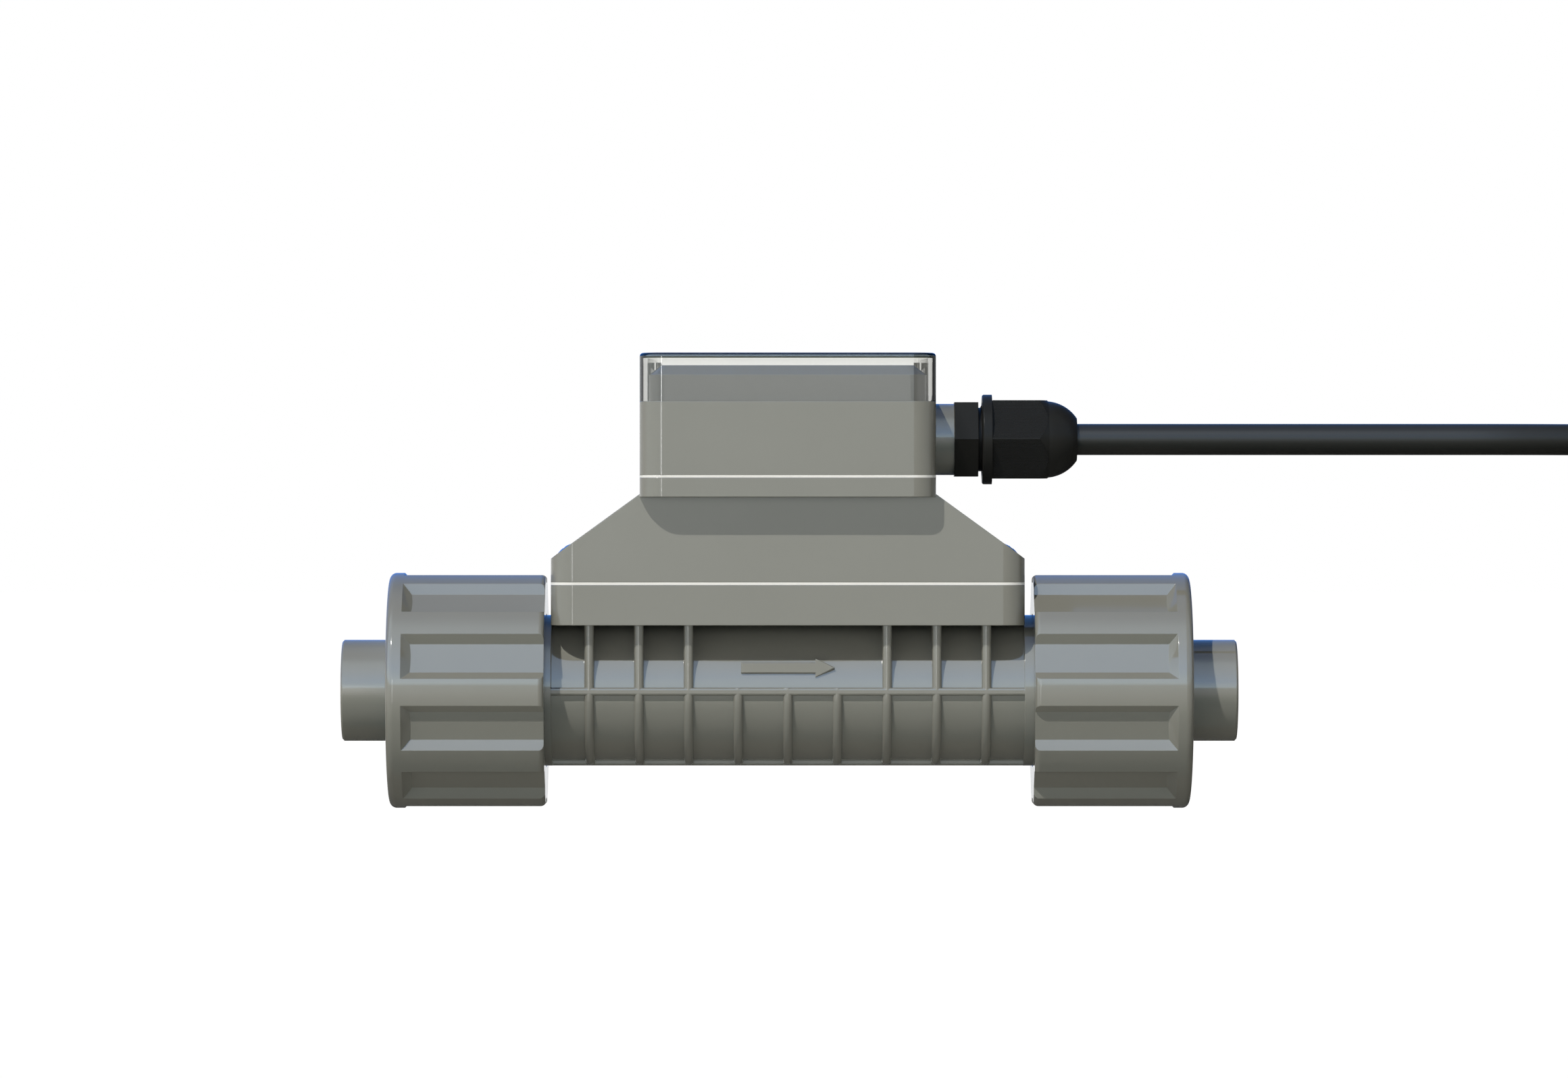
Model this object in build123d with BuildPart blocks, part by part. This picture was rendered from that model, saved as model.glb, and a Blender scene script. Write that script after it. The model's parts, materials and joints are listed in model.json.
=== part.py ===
from build123d import *
import os
from math import atan2, cos, degrees, hypot, pi, sin, sqrt, tan

os.makedirs("parts", exist_ok=True)

# An inline ultrasonic flow meter with solvent-weld unions, in millimetres.
# The origin is the middle of the inlet socket's mouth, on the pipe axis. Liquid flows
# along +X, the measuring head stands up along +Z, and the front faces -Y.

# Clearances, each between one pair of forms
running_gap = 0.3
screw_gap = 0.05
socket_gap = 0.05
inlet_saddle_gap = 1.75
outlet_saddle_gap = 2.7
board_gap = 0.1
window_gap = 0.1

# Union ends and the pipe sockets in them
pipe_diameter = 25.0
pipe_wall = 2.0
socket_depth = 19.0
union_end_wall = 1.75
union_end_rim = 1.0
union_collar_step = 1.95
union_collar_thickness = 7.3

# Union nuts, screwed on the measuring tube's necks
nut_setback = 13.3
nut_length = 44.15
nut_radius = 33.15
nut_end_wall = 7.0
nut_hole_gap = 0.4
nut_outer_round = 2.0
nut_inner_round = 1.5
thread_radius = 20.95
thread_depth = 1.47
thread_length = 12.0
thread_chamfer = 1.0
neck_step = 0.3

# Grip pockets moulded in the nuts, one at the very top
pocket_count = 10
pocket_depth = 2.75
pocket_flank_height = 2.09
pocket_floor_width = 8.26
pocket_mouth_width = 13.16
pocket_setback = 4.3

# Face seals between the necks and the union ends
seal_radius = 15.6
seal_section = 3.0
seal_groove_width = 3.8

# Measuring tube with its ribs, beads and saddle
tube_radius = 19.7
rib_height = 1.5
rib_width = 2.62
rib_pitch = 13.9
gusset_count = 3
half_rib_count = 3
rib_edge_round = 1.2
bead_width = 2.1
bead_edge_round = 0.6
saddle_length = 132.6
saddle_depth = 51.6
saddle_round = 6.2
saddle_sink = 1.14
saddle_thickness = 11.27

# Flow arrow, raised on the front of the tube
arrow_length = 26.1
arrow_shaft_height = 2.74
arrow_head_height = 5.2
arrow_head_length = 5.3
arrow_height = 6.65
arrow_relief = 0.05
arrow_root = 4.0

# Flat gaskets, flush with the housings
saddle_gasket_thickness = 0.74
saddle_gasket_border = 14.5
saddle_gasket_side = 4.0
head_gasket_thickness = 0.7

# Sensor housing with its sloping shoulders
wall = 3.0
shoulder_rise = 6.6
sensor_housing_height = 29.21
flange_thickness = 5.35
head_length = 82.65
head_depth = 69.2
head_round = 6.3
flange_overlap = 0.87

# Shaft for the leads between the housings
shaft_length = 60.0
shaft_depth = 36.0
lead_hole_radius = 9.0

# Head housing, display block and clear cover
head_housing_height = 20.59
head_wall = 4.0
head_floor = 3.0
cover_height = 13.52
cover_wall = 2.0
cover_top = 1.5
cover_edge_round = 1.0
block_inset = 2.5
block_height = 10.08
block_round = 4.6
block_slope_width = 3.5
block_slope_height = 2.65
block_plate = 2.0
block_lip = 3.07
block_lip_wall = 1.6

# Machine screws, with shank radius, head radius and head height
shoulder_screw_length = 20.0
shoulder_screw_inset = 3.8
shoulder_screw_spacing = 30.0
screw_radius = 1.5
screw_head_radius = 2.7
screw_head_height = 1.65
screw_dome = 0.5
screw_recess_length = 2.6
screw_recess_width = 0.7
screw_recess_depth = 1.4
screw_post_radius = 3.6
screw_post_inset = 9.8
screw_tip_room = 1.0
block_screw_length = 22.0
head_screw_end_inset = 19.3
head_screw_side_inset = 8.1
head_screw_radius = 2.0
head_screw_head_radius = 3.4
head_screw_head_height = 2.4
head_screw_head_round = 0.5
head_screw_socket_radius = 1.7
head_screw_socket_depth = 1.5
head_screw_length = 6.8
head_screw_tip_room = 0.5

# Ultrasonic transducers, aimed at the floor of the bore
transducer_radius = 5.8
transducer_gap = 0.1
transducer_wall = 1.9
transducer_flange_radius = 7.4
transducer_flange = 3.0
transducer_barrel = 13.4
transducer_cap_radius = 5.0
transducer_cap = 7.0
transducer_seal_section = 1.24
transducer_seal_side_room = 0.3
transducer_seal_seat = 5.2
transducer_hole_reach = 30.0
transducer_flange_hole_reach = 16.0
lead_radius = 1.1
lead_run_out = 7.0
lead_bend_radius = 3.5

# Circuit boards and what stands on them
board_thickness = 1.6
standoff_radius = 2.0
standoff_height = 1.0
standoff_inset = 5.0
main_board_end_room = 10.3
main_board_side_room = 8.6
processor_size = 12.0
processor_place = (-14.0, 8.0)
driver_length = 8.0
driver_depth = 5.0
driver_place = (-16.0, -10.0)
chip_height = 1.6
capacitor_radius = 4.0
capacitor_height = 8.0
capacitor_x = 2.0
capacitor_y = 15.0
display_board_side_room = 1.7
display_standoff_end_inset = 4.0
display_standoff_side_inset = 2.5
display_room = 4.25
switch_size = 6.0
lcd_length = 52.0
lcd_depth = 32.0
window_length = 48.0
window_depth = 27.0
window_thickness = 1.2
window_ledge = 1.5
window_y = 6.0
key_radius = 4.2
key_flange_radius = 5.4
key_flange = 0.75
key_flange_gap = 0.1
key_sink = 0.3
key_edge_round = 0.5
key_switch_gap = 0.4
key_travel = 0.5
key_spacing = 14.0
key_y = -19.0
terminal_length = 14.0
terminal_depth = 24.0
terminal_height = 9.5
terminal_ways = 4
terminal_gap = 4.0
terminal_slope = 2.5
terminal_screw_radius = 1.8
terminal_screw_depth = 2.0
wire_radius = 0.7
wire_pitch = 1.9

# Cable gland on the head's end face, level with the head housing's middle
boss_radius = 10.05
boss_length = 5.6
gland_shank_radius = 7.85
gland_shank_setback = 0.5
gland_hex_width = 20.9
gland_hex_length = 6.7
gland_thread_radius = 9.9
gland_thread_depth = 0.92
gland_thread_length = 13.0
gland_bore_radius = 4.9
gland_seat_radius = 7.6
gland_seat_depth = 9.0
gland_seat_slope = 1.5
gland_neck_length = 1.1
gland_o_ring_radius = 8.9
gland_o_ring_section = 1.3
gland_o_ring_side_room = 0.1
seal_collar_start = 0.4
seal_collar_thickness = 1.0
seal_cone_length = 3.0
seal_chamfer = 1.0
cap_flange_radius = 12.65
cap_flange = 2.8
cap_flange_round = 0.6
cap_hex_width = 21.9
cap_hex_length = 15.9
cap_corner_slope = 2.7
cap_dome_radius = 10.8
cap_dome_length = 8.1
cap_mouth_radius = 6.0
cap_hole_radius = 4.9
cap_cone_end = 6.0

# Cable, its coil and its stripped end
cable_radius = 4.4
cable_set_in = 13.3
cable_bend_radius = 50.0
cable_bend_angle = pi / 6
coil_turn_radius = 52.5
coil_x = 292.0
coil_set_back = 19.0
coil_turns = 5.25
coil_pitch = 8.8
coil_stub = 31.0
coil_stub_set_in = 8.0
coil_side_room = 0.1
tail_length = 53.0
core_count = 4
core_radius = 0.9
core_length = 20.0
core_spread = 2.0
core_splay = 0.25
core_gap = 0.25
ferrule_radius = 1.25
ferrule_length = 9.0
tie_gap = 0.3
tie_thickness = 1.3
tie_width = 4.8
tie_turns = (-90, 180, 30)

# Lengths along the pipe axis, which the nuts and the saddle between them take up
inlet_reach = nut_setback + nut_length + inlet_saddle_gap + saddle_length / 2
outlet_reach = nut_setback + nut_length + outlet_saddle_gap + saddle_length / 2
body_centre = inlet_reach
overall_length = inlet_reach + outlet_reach
shoulder_length = (saddle_length - head_length) / 2

# Levels that follow from the heights above
saddle_bottom = tube_radius - saddle_sink
saddle_top = saddle_bottom + saddle_thickness
sensor_bottom = saddle_top + saddle_gasket_thickness
shoulder_bottom = sensor_bottom + shoulder_rise
sensor_top = sensor_bottom + sensor_housing_height
flange_bottom = sensor_top - flange_thickness
shoulder_top = flange_bottom + flange_overlap
head_bottom = sensor_top + head_gasket_thickness
head_floor_top = head_bottom + head_floor
head_top = head_bottom + head_housing_height
block_top = head_top + block_height
post_top = head_top - block_lip
plate_bottom = block_top - block_plate
display_board_top = plate_bottom - display_room
main_board_top = head_floor_top + standoff_height + board_thickness
gland_height = (head_bottom + head_top) / 2

# Radii that follow from the diameters and clearances
flow_radius = pipe_diameter / 2 - pipe_wall
socket_radius = pipe_diameter / 2 + socket_gap
union_end_radius = pipe_diameter / 2 + union_end_wall
union_collar_radius = thread_radius - union_collar_step
neck_radius = thread_radius + neck_step
rib_radius = tube_radius + rib_height
pocket_floor_radius = nut_radius - pocket_depth
nut_hole_radius = union_end_radius + nut_hole_gap
nut_thread_radius = thread_radius + running_gap
nut_skirt_radius = neck_radius + nut_hole_gap
gland_root_radius = gland_thread_radius - gland_thread_depth
cap_bore_radius = gland_thread_radius + running_gap

# Places and outlines in the head that follow from its length and depth
screw_post_x = head_length / 2 - screw_post_inset
screw_post_y = head_depth / 2 - screw_post_inset
head_screw_x = head_length / 2 - head_screw_end_inset
head_screw_y = head_depth / 2 - head_screw_side_inset
cable_start = head_length / 2 - cable_set_in
main_board_length = head_length - 2 * (head_wall + main_board_end_room)
main_board_depth = head_depth - 2 * (head_wall + main_board_side_room)
lip_length = head_length - 2 * (head_wall + running_gap)
lip_depth = head_depth - 2 * (head_wall + running_gap)
display_board_length = 2 * (screw_post_x - screw_post_radius - board_gap)
display_board_depth = lip_depth - 2 * (block_lip_wall + display_board_side_room)

# Stations measured inward from either mouth
nut_shoulder = nut_setback + nut_end_wall
neck_face = nut_shoulder + union_collar_thickness
thread_end = neck_face + thread_length
nut_inner_end = nut_setback + nut_length

# The shoulders slope at one angle, which the screws and the transducers share
shoulder_angle = atan2(shoulder_top - shoulder_bottom, shoulder_length)
slope_sin = sin(shoulder_angle)
slope_cos = cos(shoulder_angle)

# Side planes hold profiles as (distance inward from the mouth, height)
inlet_side = Plane(origin=(0, 0, 0), x_dir=(1, 0, 0), z_dir=(0, -1, 0))
outlet_side = Plane(origin=(overall_length, 0, 0), x_dir=(-1, 0, 0), z_dir=(0, 1, 0))
middle = Plane(origin=(body_centre, 0, 0), x_dir=(1, 0, 0), z_dir=(0, -1, 0))


def level(height):
    """A horizontal plane over the body's centre."""
    return Plane.XY.move(Location((body_centre, 0, height)))


def across(side, inward):
    """A plane square to the pipe axis, facing inward, this far in from a mouth."""
    centre = side.from_local_coords((inward, 0, 0))
    return Plane(origin=centre, x_dir=side.z_dir * -1, z_dir=side.x_dir)


def finish(part, name):
    """Names a piece and writes it."""
    part.label = name
    export_step(part, f"parts/{name}.step")
    return part


def revolved(side, points, axis=Axis.X):
    """A solid of revolution from an outline drawn on a side plane."""
    with BuildPart() as turned:
        with BuildSketch(side):
            with BuildLine():
                Polyline(*points, close=True)
            make_face()
        revolve(axis=axis)
    return turned.part


def rod(start, end, radius):
    """A round rod between two points."""
    along = Vector(end) - Vector(start)
    with BuildPart() as straight:
        with BuildSketch(Plane(origin=start, z_dir=along)):
            Circle(radius)
        extrude(amount=along.length)
    return straight.part


def countersunk_screw(seat, length, dome):
    """A cross-recessed screw, flush with its seat plane but for the dome."""
    axial = Plane(origin=seat.origin, x_dir=seat.z_dir, z_dir=seat.y_dir)
    with BuildPart() as screw:
        with BuildSketch(axial):
            with BuildLine():
                Polyline(
                    (dome, 0),
                    (-length, 0),
                    (-length, screw_radius),
                    (-screw_head_height, screw_radius),
                    (0, screw_head_radius),
                )
                if dome > 0:
                    SagittaArc((0, screw_head_radius), (dome, 0), dome / 4)
                else:
                    Line((0, screw_head_radius), (0, 0))
            make_face()
        revolve(axis=Axis(seat.origin, seat.z_dir))
        with BuildSketch(seat.offset(dome)):
            Rectangle(screw_recess_length, screw_recess_width)
            Rectangle(screw_recess_width, screw_recess_length)
        extrude(amount=-screw_recess_depth, mode=Mode.SUBTRACT)
    return screw.part


def screw_hole(seat, length):
    """The countersunk hole for such a screw."""
    axial = Plane(origin=seat.origin, x_dir=seat.z_dir, z_dir=seat.y_dir)
    radius = screw_radius + screw_gap
    head = screw_head_radius + screw_gap
    points = [
        (1, 0),
        (-length, 0),
        (-length, radius),
        (-screw_head_height, radius),
        (0, head),
        (1, head),
    ]
    return revolved(axial, points, Axis(seat.origin, seat.z_dir))


# Union ends: a socket for the pipe, and a collar that the nut draws to the neck
def union_end(side):
    points = [
        (0, union_end_radius - union_end_rim / 2),
        (union_end_rim / 2, union_end_radius),
        (nut_shoulder, union_end_radius),
        (nut_shoulder, union_collar_radius),
        (neck_face, union_collar_radius),
        (neck_face, flow_radius),
        (socket_depth, flow_radius),
        (socket_depth, socket_radius),
        (0, socket_radius),
    ]
    return revolved(side, points)


inlet_union_end = finish(union_end(inlet_side), "inlet_union_end")
outlet_union_end = finish(union_end(outlet_side), "outlet_union_end")


# Union nuts: the pockets run out at the inner end and stop at a cone near the outer one
def union_nut(side):
    flank = (pocket_mouth_width - pocket_floor_width) / 2 / pocket_flank_height
    cut_height = 2 * pocket_depth
    cut_radius = pocket_floor_radius + cut_height
    cut_width = pocket_floor_width / 2 + flank * cut_height
    pocket_start = nut_setback + pocket_setback
    cut_end = nut_setback + nut_length + cut_height
    with BuildPart() as pockets:
        with BuildSketch(across(side, pocket_start)):
            with PolarLocations(0, pocket_count, start_angle=90):
                Polygon(
                    (pocket_floor_radius, -pocket_floor_width / 2),
                    (cut_radius, -cut_width),
                    (cut_radius, cut_width),
                    (pocket_floor_radius, pocket_floor_width / 2),
                    align=None,
                )
        extrude(amount=nut_length)
        with BuildSketch(side):
            Polygon(
                (pocket_start + pocket_depth, pocket_floor_radius),
                (pocket_start + pocket_depth - cut_height, cut_radius),
                (cut_end, cut_radius),
                (cut_end, pocket_floor_radius - cut_height),
                (pocket_start + pocket_depth, pocket_floor_radius - cut_height),
                align=None,
            )
        revolve(axis=Axis.X, mode=Mode.INTERSECT)
    with BuildPart() as nut:
        with BuildSketch(side) as section:
            with BuildLine():
                Polyline(
                    (nut_setback, nut_hole_radius),
                    (nut_setback, nut_radius),
                    (nut_inner_end, nut_radius),
                    (nut_inner_end, nut_skirt_radius),
                    (thread_end, nut_skirt_radius),
                    (thread_end, nut_thread_radius),
                    (nut_shoulder, nut_thread_radius),
                    (nut_shoulder, nut_hole_radius),
                    close=True,
                )
            make_face()
            rim = section.vertices().group_by(Axis.Y)[-1].sort_by(Axis.X)
            fillet(rim[0], radius=nut_outer_round)
            rim = section.vertices().group_by(Axis.Y)[-1].sort_by(Axis.X)
            fillet(rim[-1], radius=nut_inner_round)
        revolve(axis=Axis.X)
        add(pockets.part, mode=Mode.SUBTRACT)
    return nut.part


inlet_union_nut = finish(union_nut(inlet_side), "inlet_union_nut")
outlet_union_nut = finish(union_nut(outlet_side), "outlet_union_nut")


# Face seals, each in a groove of the neck's end
def face_seal(side):
    with BuildPart() as ring:
        with BuildSketch(side):
            with Locations((neck_face + running_gap + seal_section / 2, seal_radius)):
                Circle(seal_section / 2)
        revolve(axis=Axis.X)
    return ring.part


inlet_o_ring = finish(face_seal(inlet_side), "inlet_o_ring")
outlet_o_ring = finish(face_seal(outlet_side), "outlet_o_ring")


# Slope planes, one per shoulder screw, facing out of the shoulder
def shoulder_seats():
    seats = []
    for toward in (-1, 1):
        for row in (-1, 1):
            x = saddle_length / 2 - shoulder_screw_inset
            z = shoulder_bottom + shoulder_screw_inset * slope_sin / slope_cos
            place = (body_centre + toward * x, row * shoulder_screw_spacing / 2, z)
            seats.append(Plane(origin=place, x_dir=(0, 1, 0), z_dir=(toward * slope_sin, 0, slope_cos)))
    return seats


# Transducer axes start where the beam meets the bore's floor and lean with the shoulders
def beam(toward):
    return Plane(
        origin=(body_centre, 0, -flow_radius),
        x_dir=(toward * slope_sin, 0, slope_cos),
        z_dir=(0, -toward, 0),
    )


transducer_foot = (2 * flow_radius + transducer_wall + transducer_radius * slope_sin) / slope_cos
transducer_seat = transducer_foot + transducer_barrel
transducer_top = transducer_seat + transducer_flange + transducer_cap

# Ribs stand on the tube's length: full ones carry the saddle, half ones stop at the bead
with BuildPart() as gusset_rib:
    with BuildSketch(Plane.YZ.offset(-rib_width / 2)):
        Circle(rib_radius)
        with Locations((0, saddle_top / 2)):
            Rectangle(2 * rib_radius, saddle_top)
    extrude(amount=rib_width)
    outline = gusset_rib.faces().filter_by(Axis.X).edges().sort_by(Axis.Z)
    fillet([edge for edge in outline if edge.center().Z < saddle_bottom], radius=rib_edge_round)

with BuildPart() as half_rib:
    with BuildSketch(Plane.YZ.offset(-rib_width / 2)):
        Circle(rib_radius)
        with Locations((0, -rib_radius + bead_width / 2)):
            Rectangle(3 * rib_radius, 2 * rib_radius, mode=Mode.INTERSECT)
    extrude(amount=rib_width)
    fillet(half_rib.edges().filter_by(GeomType.CIRCLE), radius=rib_edge_round)

with BuildPart() as beads:
    with BuildSketch(middle):
        Rectangle(saddle_length, bead_width)
    extrude(amount=rib_radius, both=True)
    with BuildSketch(Plane.XZ.offset(-bead_width / 2)):
        with Locations((body_centre, -rib_radius / 2)):
            Rectangle(saddle_length, rib_radius)
    extrude(amount=bead_width)
    outer_edges = beads.edges().filter_by(Axis.X).filter_by(
        lambda edge: hypot(edge.center().Y, edge.center().Z) > tube_radius
    )
    fillet(outer_edges, radius=bead_edge_round)

# Measuring tube: one moulding of barrel, necks, ribs, beads, saddle and arrow
with BuildPart() as measuring_tube:
    with BuildSketch(Plane.XZ):
        with BuildLine():
            tube_stations = [
                (neck_face, 0),
                (neck_face, thread_radius - thread_depth - thread_chamfer),
                (neck_face + thread_chamfer, thread_radius - thread_depth),
                (thread_end, thread_radius - thread_depth),
                (thread_end, neck_radius),
            ]
            inlet_line = tube_stations + [
                (body_centre - saddle_length / 2, neck_radius),
                (body_centre - saddle_length / 2, tube_radius),
            ]
            outlet_line = [(overall_length - x, r) for x, r in tube_stations] + [
                (body_centre + saddle_length / 2, neck_radius),
                (body_centre + saddle_length / 2, tube_radius),
            ]
            Polyline(*inlet_line, *reversed(outlet_line), close=True)
        make_face()
    revolve(axis=Axis.X)
    with BuildSketch(level(saddle_bottom)) as saddle_outline:
        Rectangle(saddle_length, saddle_depth)
        fillet(saddle_outline.vertices(), radius=saddle_round)
    extrude(amount=saddle_top - saddle_bottom)
    for number in range(-half_rib_count // 2 + 1, half_rib_count // 2 + 1):
        add(half_rib.part.moved(Location((body_centre + number * rib_pitch, 0, 0))))
    for number in range(half_rib_count // 2 + 1, half_rib_count // 2 + 1 + gusset_count):
        add(gusset_rib.part.moved(Location((body_centre + number * rib_pitch, 0, 0))))
        add(gusset_rib.part.moved(Location((body_centre - number * rib_pitch, 0, 0))))
    add(beads.part)
    with BuildSketch(Plane.XZ.offset(tube_radius + arrow_relief)):
        with Locations((body_centre - arrow_head_length / 2, arrow_height)):
            Rectangle(arrow_length - arrow_head_length, arrow_shaft_height)
        with Locations((body_centre + arrow_length / 2, arrow_height)):
            Polygon(
                (0, 0),
                (-arrow_head_length, arrow_head_height / 2),
                (-arrow_head_length, -arrow_head_height / 2),
                align=None,
            )
    extrude(amount=-arrow_root)
    with BuildSketch(across(inlet_side, neck_face)):
        Circle(flow_radius)
    extrude(amount=overall_length - 2 * neck_face, mode=Mode.SUBTRACT)
    for side in (inlet_side, outlet_side):
        with BuildSketch(across(side, neck_face)):
            Circle(seal_radius + seal_groove_width / 2)
            Circle(seal_radius - seal_groove_width / 2, mode=Mode.SUBTRACT)
        extrude(amount=seal_section + running_gap, mode=Mode.SUBTRACT)
    for toward in (-1, 1):
        axial = beam(toward)
        foot = Plane(origin=axial.from_local_coords((transducer_foot, 0, 0)), z_dir=axial.x_dir)
        with BuildSketch(foot):
            Circle(transducer_radius + transducer_gap)
        extrude(amount=transducer_hole_reach, mode=Mode.SUBTRACT)
        with BuildSketch(foot.offset(transducer_barrel)):
            Circle(transducer_flange_radius + 2 * transducer_gap)
        extrude(amount=transducer_flange_hole_reach, mode=Mode.SUBTRACT)
    for seat in shoulder_seats():
        add(screw_hole(seat, shoulder_screw_length + screw_tip_room), mode=Mode.SUBTRACT)
finish(measuring_tube.part, "measuring_tube")


# Transducers: sealed capsules that lean towards each other
def transducer(toward):
    seal_half = transducer_seal_section / 2 + transducer_seal_side_room
    groove = transducer_radius - transducer_seal_section
    points = [
        (transducer_foot, 0),
        (transducer_foot, transducer_radius),
        (transducer_foot + transducer_seal_seat - seal_half, transducer_radius),
        (transducer_foot + transducer_seal_seat - seal_half, groove),
        (transducer_foot + transducer_seal_seat + seal_half, groove),
        (transducer_foot + transducer_seal_seat + seal_half, transducer_radius),
        (transducer_seat, transducer_radius),
        (transducer_seat, transducer_flange_radius),
        (transducer_seat + transducer_flange, transducer_flange_radius),
        (transducer_seat + transducer_flange, transducer_cap_radius),
        (transducer_top, transducer_cap_radius),
        (transducer_top, 0),
    ]
    axial = beam(toward)
    return revolved(axial, points, Axis(axial.origin, axial.x_dir))


def transducer_seal(toward):
    axial = beam(toward)
    centre_radius = transducer_radius + transducer_gap / 2 - transducer_seal_section / 2
    with BuildPart() as ring:
        with BuildSketch(axial):
            with Locations((transducer_foot + transducer_seal_seat, centre_radius)):
                Circle(transducer_seal_section / 2)
        revolve(axis=Axis(axial.origin, axial.x_dir))
    return ring.part


def transducer_lead(toward):
    axial = beam(toward)
    start = axial.from_local_coords((transducer_top, 0, 0))
    turn = axial.from_local_coords((transducer_top + lead_run_out, 0, 0))
    inner_x = body_centre + toward * lead_hole_radius / 2
    with BuildPart() as lead:
        with BuildLine():
            FilletPolyline(
                start,
                turn,
                (inner_x, 0, flange_bottom),
                (inner_x, 0, head_floor_top + standoff_height),
                radius=lead_bend_radius,
            )
        with BuildSketch(Plane(origin=start, z_dir=axial.x_dir)):
            Circle(lead_radius)
        sweep()
    return lead.part


transducer_sides = {"upstream": -1, "downstream": 1}
for where, toward in transducer_sides.items():
    finish(transducer(toward), f"{where}_transducer")
    finish(transducer_seal(toward), f"{where}_transducer_o_ring")
    finish(transducer_lead(toward), f"{where}_transducer_lead")

# Saddle gasket: a border inside the saddle's outline, holed for the shoulder screws
with BuildPart() as saddle_gasket:
    with BuildSketch(level(saddle_top)) as gasket_outline:
        Rectangle(saddle_length, saddle_depth)
        fillet(gasket_outline.vertices(), radius=saddle_round)
        Rectangle(
            saddle_length - 2 * saddle_gasket_border,
            saddle_depth - 2 * saddle_gasket_side,
            mode=Mode.SUBTRACT,
        )
    extrude(amount=saddle_gasket_thickness)
    for seat in shoulder_seats():
        add(screw_hole(seat, shoulder_screw_length), mode=Mode.SUBTRACT)
finish(saddle_gasket.part, "saddle_gasket")


# The sensor housing's outline seen from the front, drawn in by a wall's thickness
def shoulder_outline(inset, bottom, top):
    base = saddle_length / 2 - inset
    knee = shoulder_bottom - inset * (1 - slope_sin) / slope_cos
    run = (top - knee) * slope_cos / slope_sin
    return [
        (-base, bottom),
        (base, bottom),
        (base, knee),
        (base - run, top),
        (-base + run, top),
        (-base, knee),
    ]


with BuildPart() as sensor_cavity:
    with BuildSketch(level(sensor_bottom)) as inner_outline:
        Rectangle(saddle_length - 2 * wall, saddle_depth - 2 * wall)
        fillet(inner_outline.vertices(), radius=saddle_round - wall)
    extrude(amount=flange_bottom - sensor_bottom - wall / 2)
    with BuildSketch(middle):
        Polygon(*shoulder_outline(wall, sensor_bottom, flange_bottom), align=None)
    extrude(amount=saddle_depth / 2, both=True, mode=Mode.INTERSECT)
    with BuildSketch(level(sensor_bottom)):
        Rectangle(shaft_length, shaft_depth)
    extrude(amount=sensor_housing_height)
    for seat in shoulder_seats():
        foot = seat.from_local_coords((0, 0, -2 * shoulder_screw_length))
        add(rod(foot, seat.origin, screw_post_radius), mode=Mode.SUBTRACT)

with BuildPart() as sensor_housing:
    with BuildSketch(level(sensor_bottom)) as body_outline:
        Rectangle(saddle_length, saddle_depth)
        fillet(body_outline.vertices(), radius=saddle_round)
    extrude(amount=shoulder_top - sensor_bottom)
    with BuildSketch(middle):
        Polygon(*shoulder_outline(0, sensor_bottom, shoulder_top), align=None)
    extrude(amount=saddle_depth / 2, both=True, mode=Mode.INTERSECT)
    with BuildSketch(level(flange_bottom)) as flange_outline:
        Rectangle(head_length, head_depth)
        fillet(flange_outline.vertices(), radius=head_round)
    extrude(amount=flange_thickness)
    add(sensor_cavity.part, mode=Mode.SUBTRACT)
    for seat in shoulder_seats():
        add(screw_hole(seat, shoulder_screw_length), mode=Mode.SUBTRACT)
    with BuildSketch(level(sensor_top)):
        with GridLocations(2 * head_screw_x, 2 * head_screw_y, 2, 2):
            Circle(head_screw_radius + screw_gap)
    screw_reach = head_screw_length - head_floor - head_gasket_thickness
    extrude(amount=-(screw_reach + head_screw_tip_room), mode=Mode.SUBTRACT)
finish(sensor_housing.part, "sensor_housing")

shoulder_screw_set = [countersunk_screw(seat, shoulder_screw_length, screw_dome) for seat in shoulder_seats()]
with BuildPart() as shoulder_screws:
    add(shoulder_screw_set)
finish(shoulder_screws.part, "shoulder_screws")

# Head gasket between the two housings
with BuildPart() as head_gasket:
    with BuildSketch(level(sensor_top)) as gasket_outline:
        Rectangle(head_length, head_depth)
        fillet(gasket_outline.vertices(), radius=head_round)
        Rectangle(shaft_length, shaft_depth, mode=Mode.SUBTRACT)
        with GridLocations(2 * head_screw_x, 2 * head_screw_y, 2, 2):
            Circle(head_screw_radius + screw_gap, mode=Mode.SUBTRACT)
    extrude(amount=head_gasket_thickness)
finish(head_gasket.part, "head_gasket")

# Head housing: an open box with screw posts, board standoffs and the gland's boss
gland_centre = (0, gland_height)
head_end = body_centre + head_length / 2
boss_end = head_end + boss_length
with BuildPart() as head_cavity:
    with BuildSketch(level(head_floor_top)) as inner_outline:
        Rectangle(head_length - 2 * head_wall, head_depth - 2 * head_wall)
        fillet(inner_outline.vertices(), radius=head_round - wall)
    extrude(amount=head_top - head_floor_top)
    with BuildSketch(level(head_floor_top)):
        with GridLocations(2 * screw_post_x, 2 * screw_post_y, 2, 2):
            Circle(screw_post_radius)
    extrude(amount=post_top - head_floor_top, mode=Mode.SUBTRACT)
    with BuildSketch(level(head_floor_top)):
        with GridLocations(
            main_board_length - 2 * standoff_inset, main_board_depth - 2 * standoff_inset, 2, 2
        ):
            Circle(standoff_radius)
    extrude(amount=standoff_height, mode=Mode.SUBTRACT)

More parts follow.
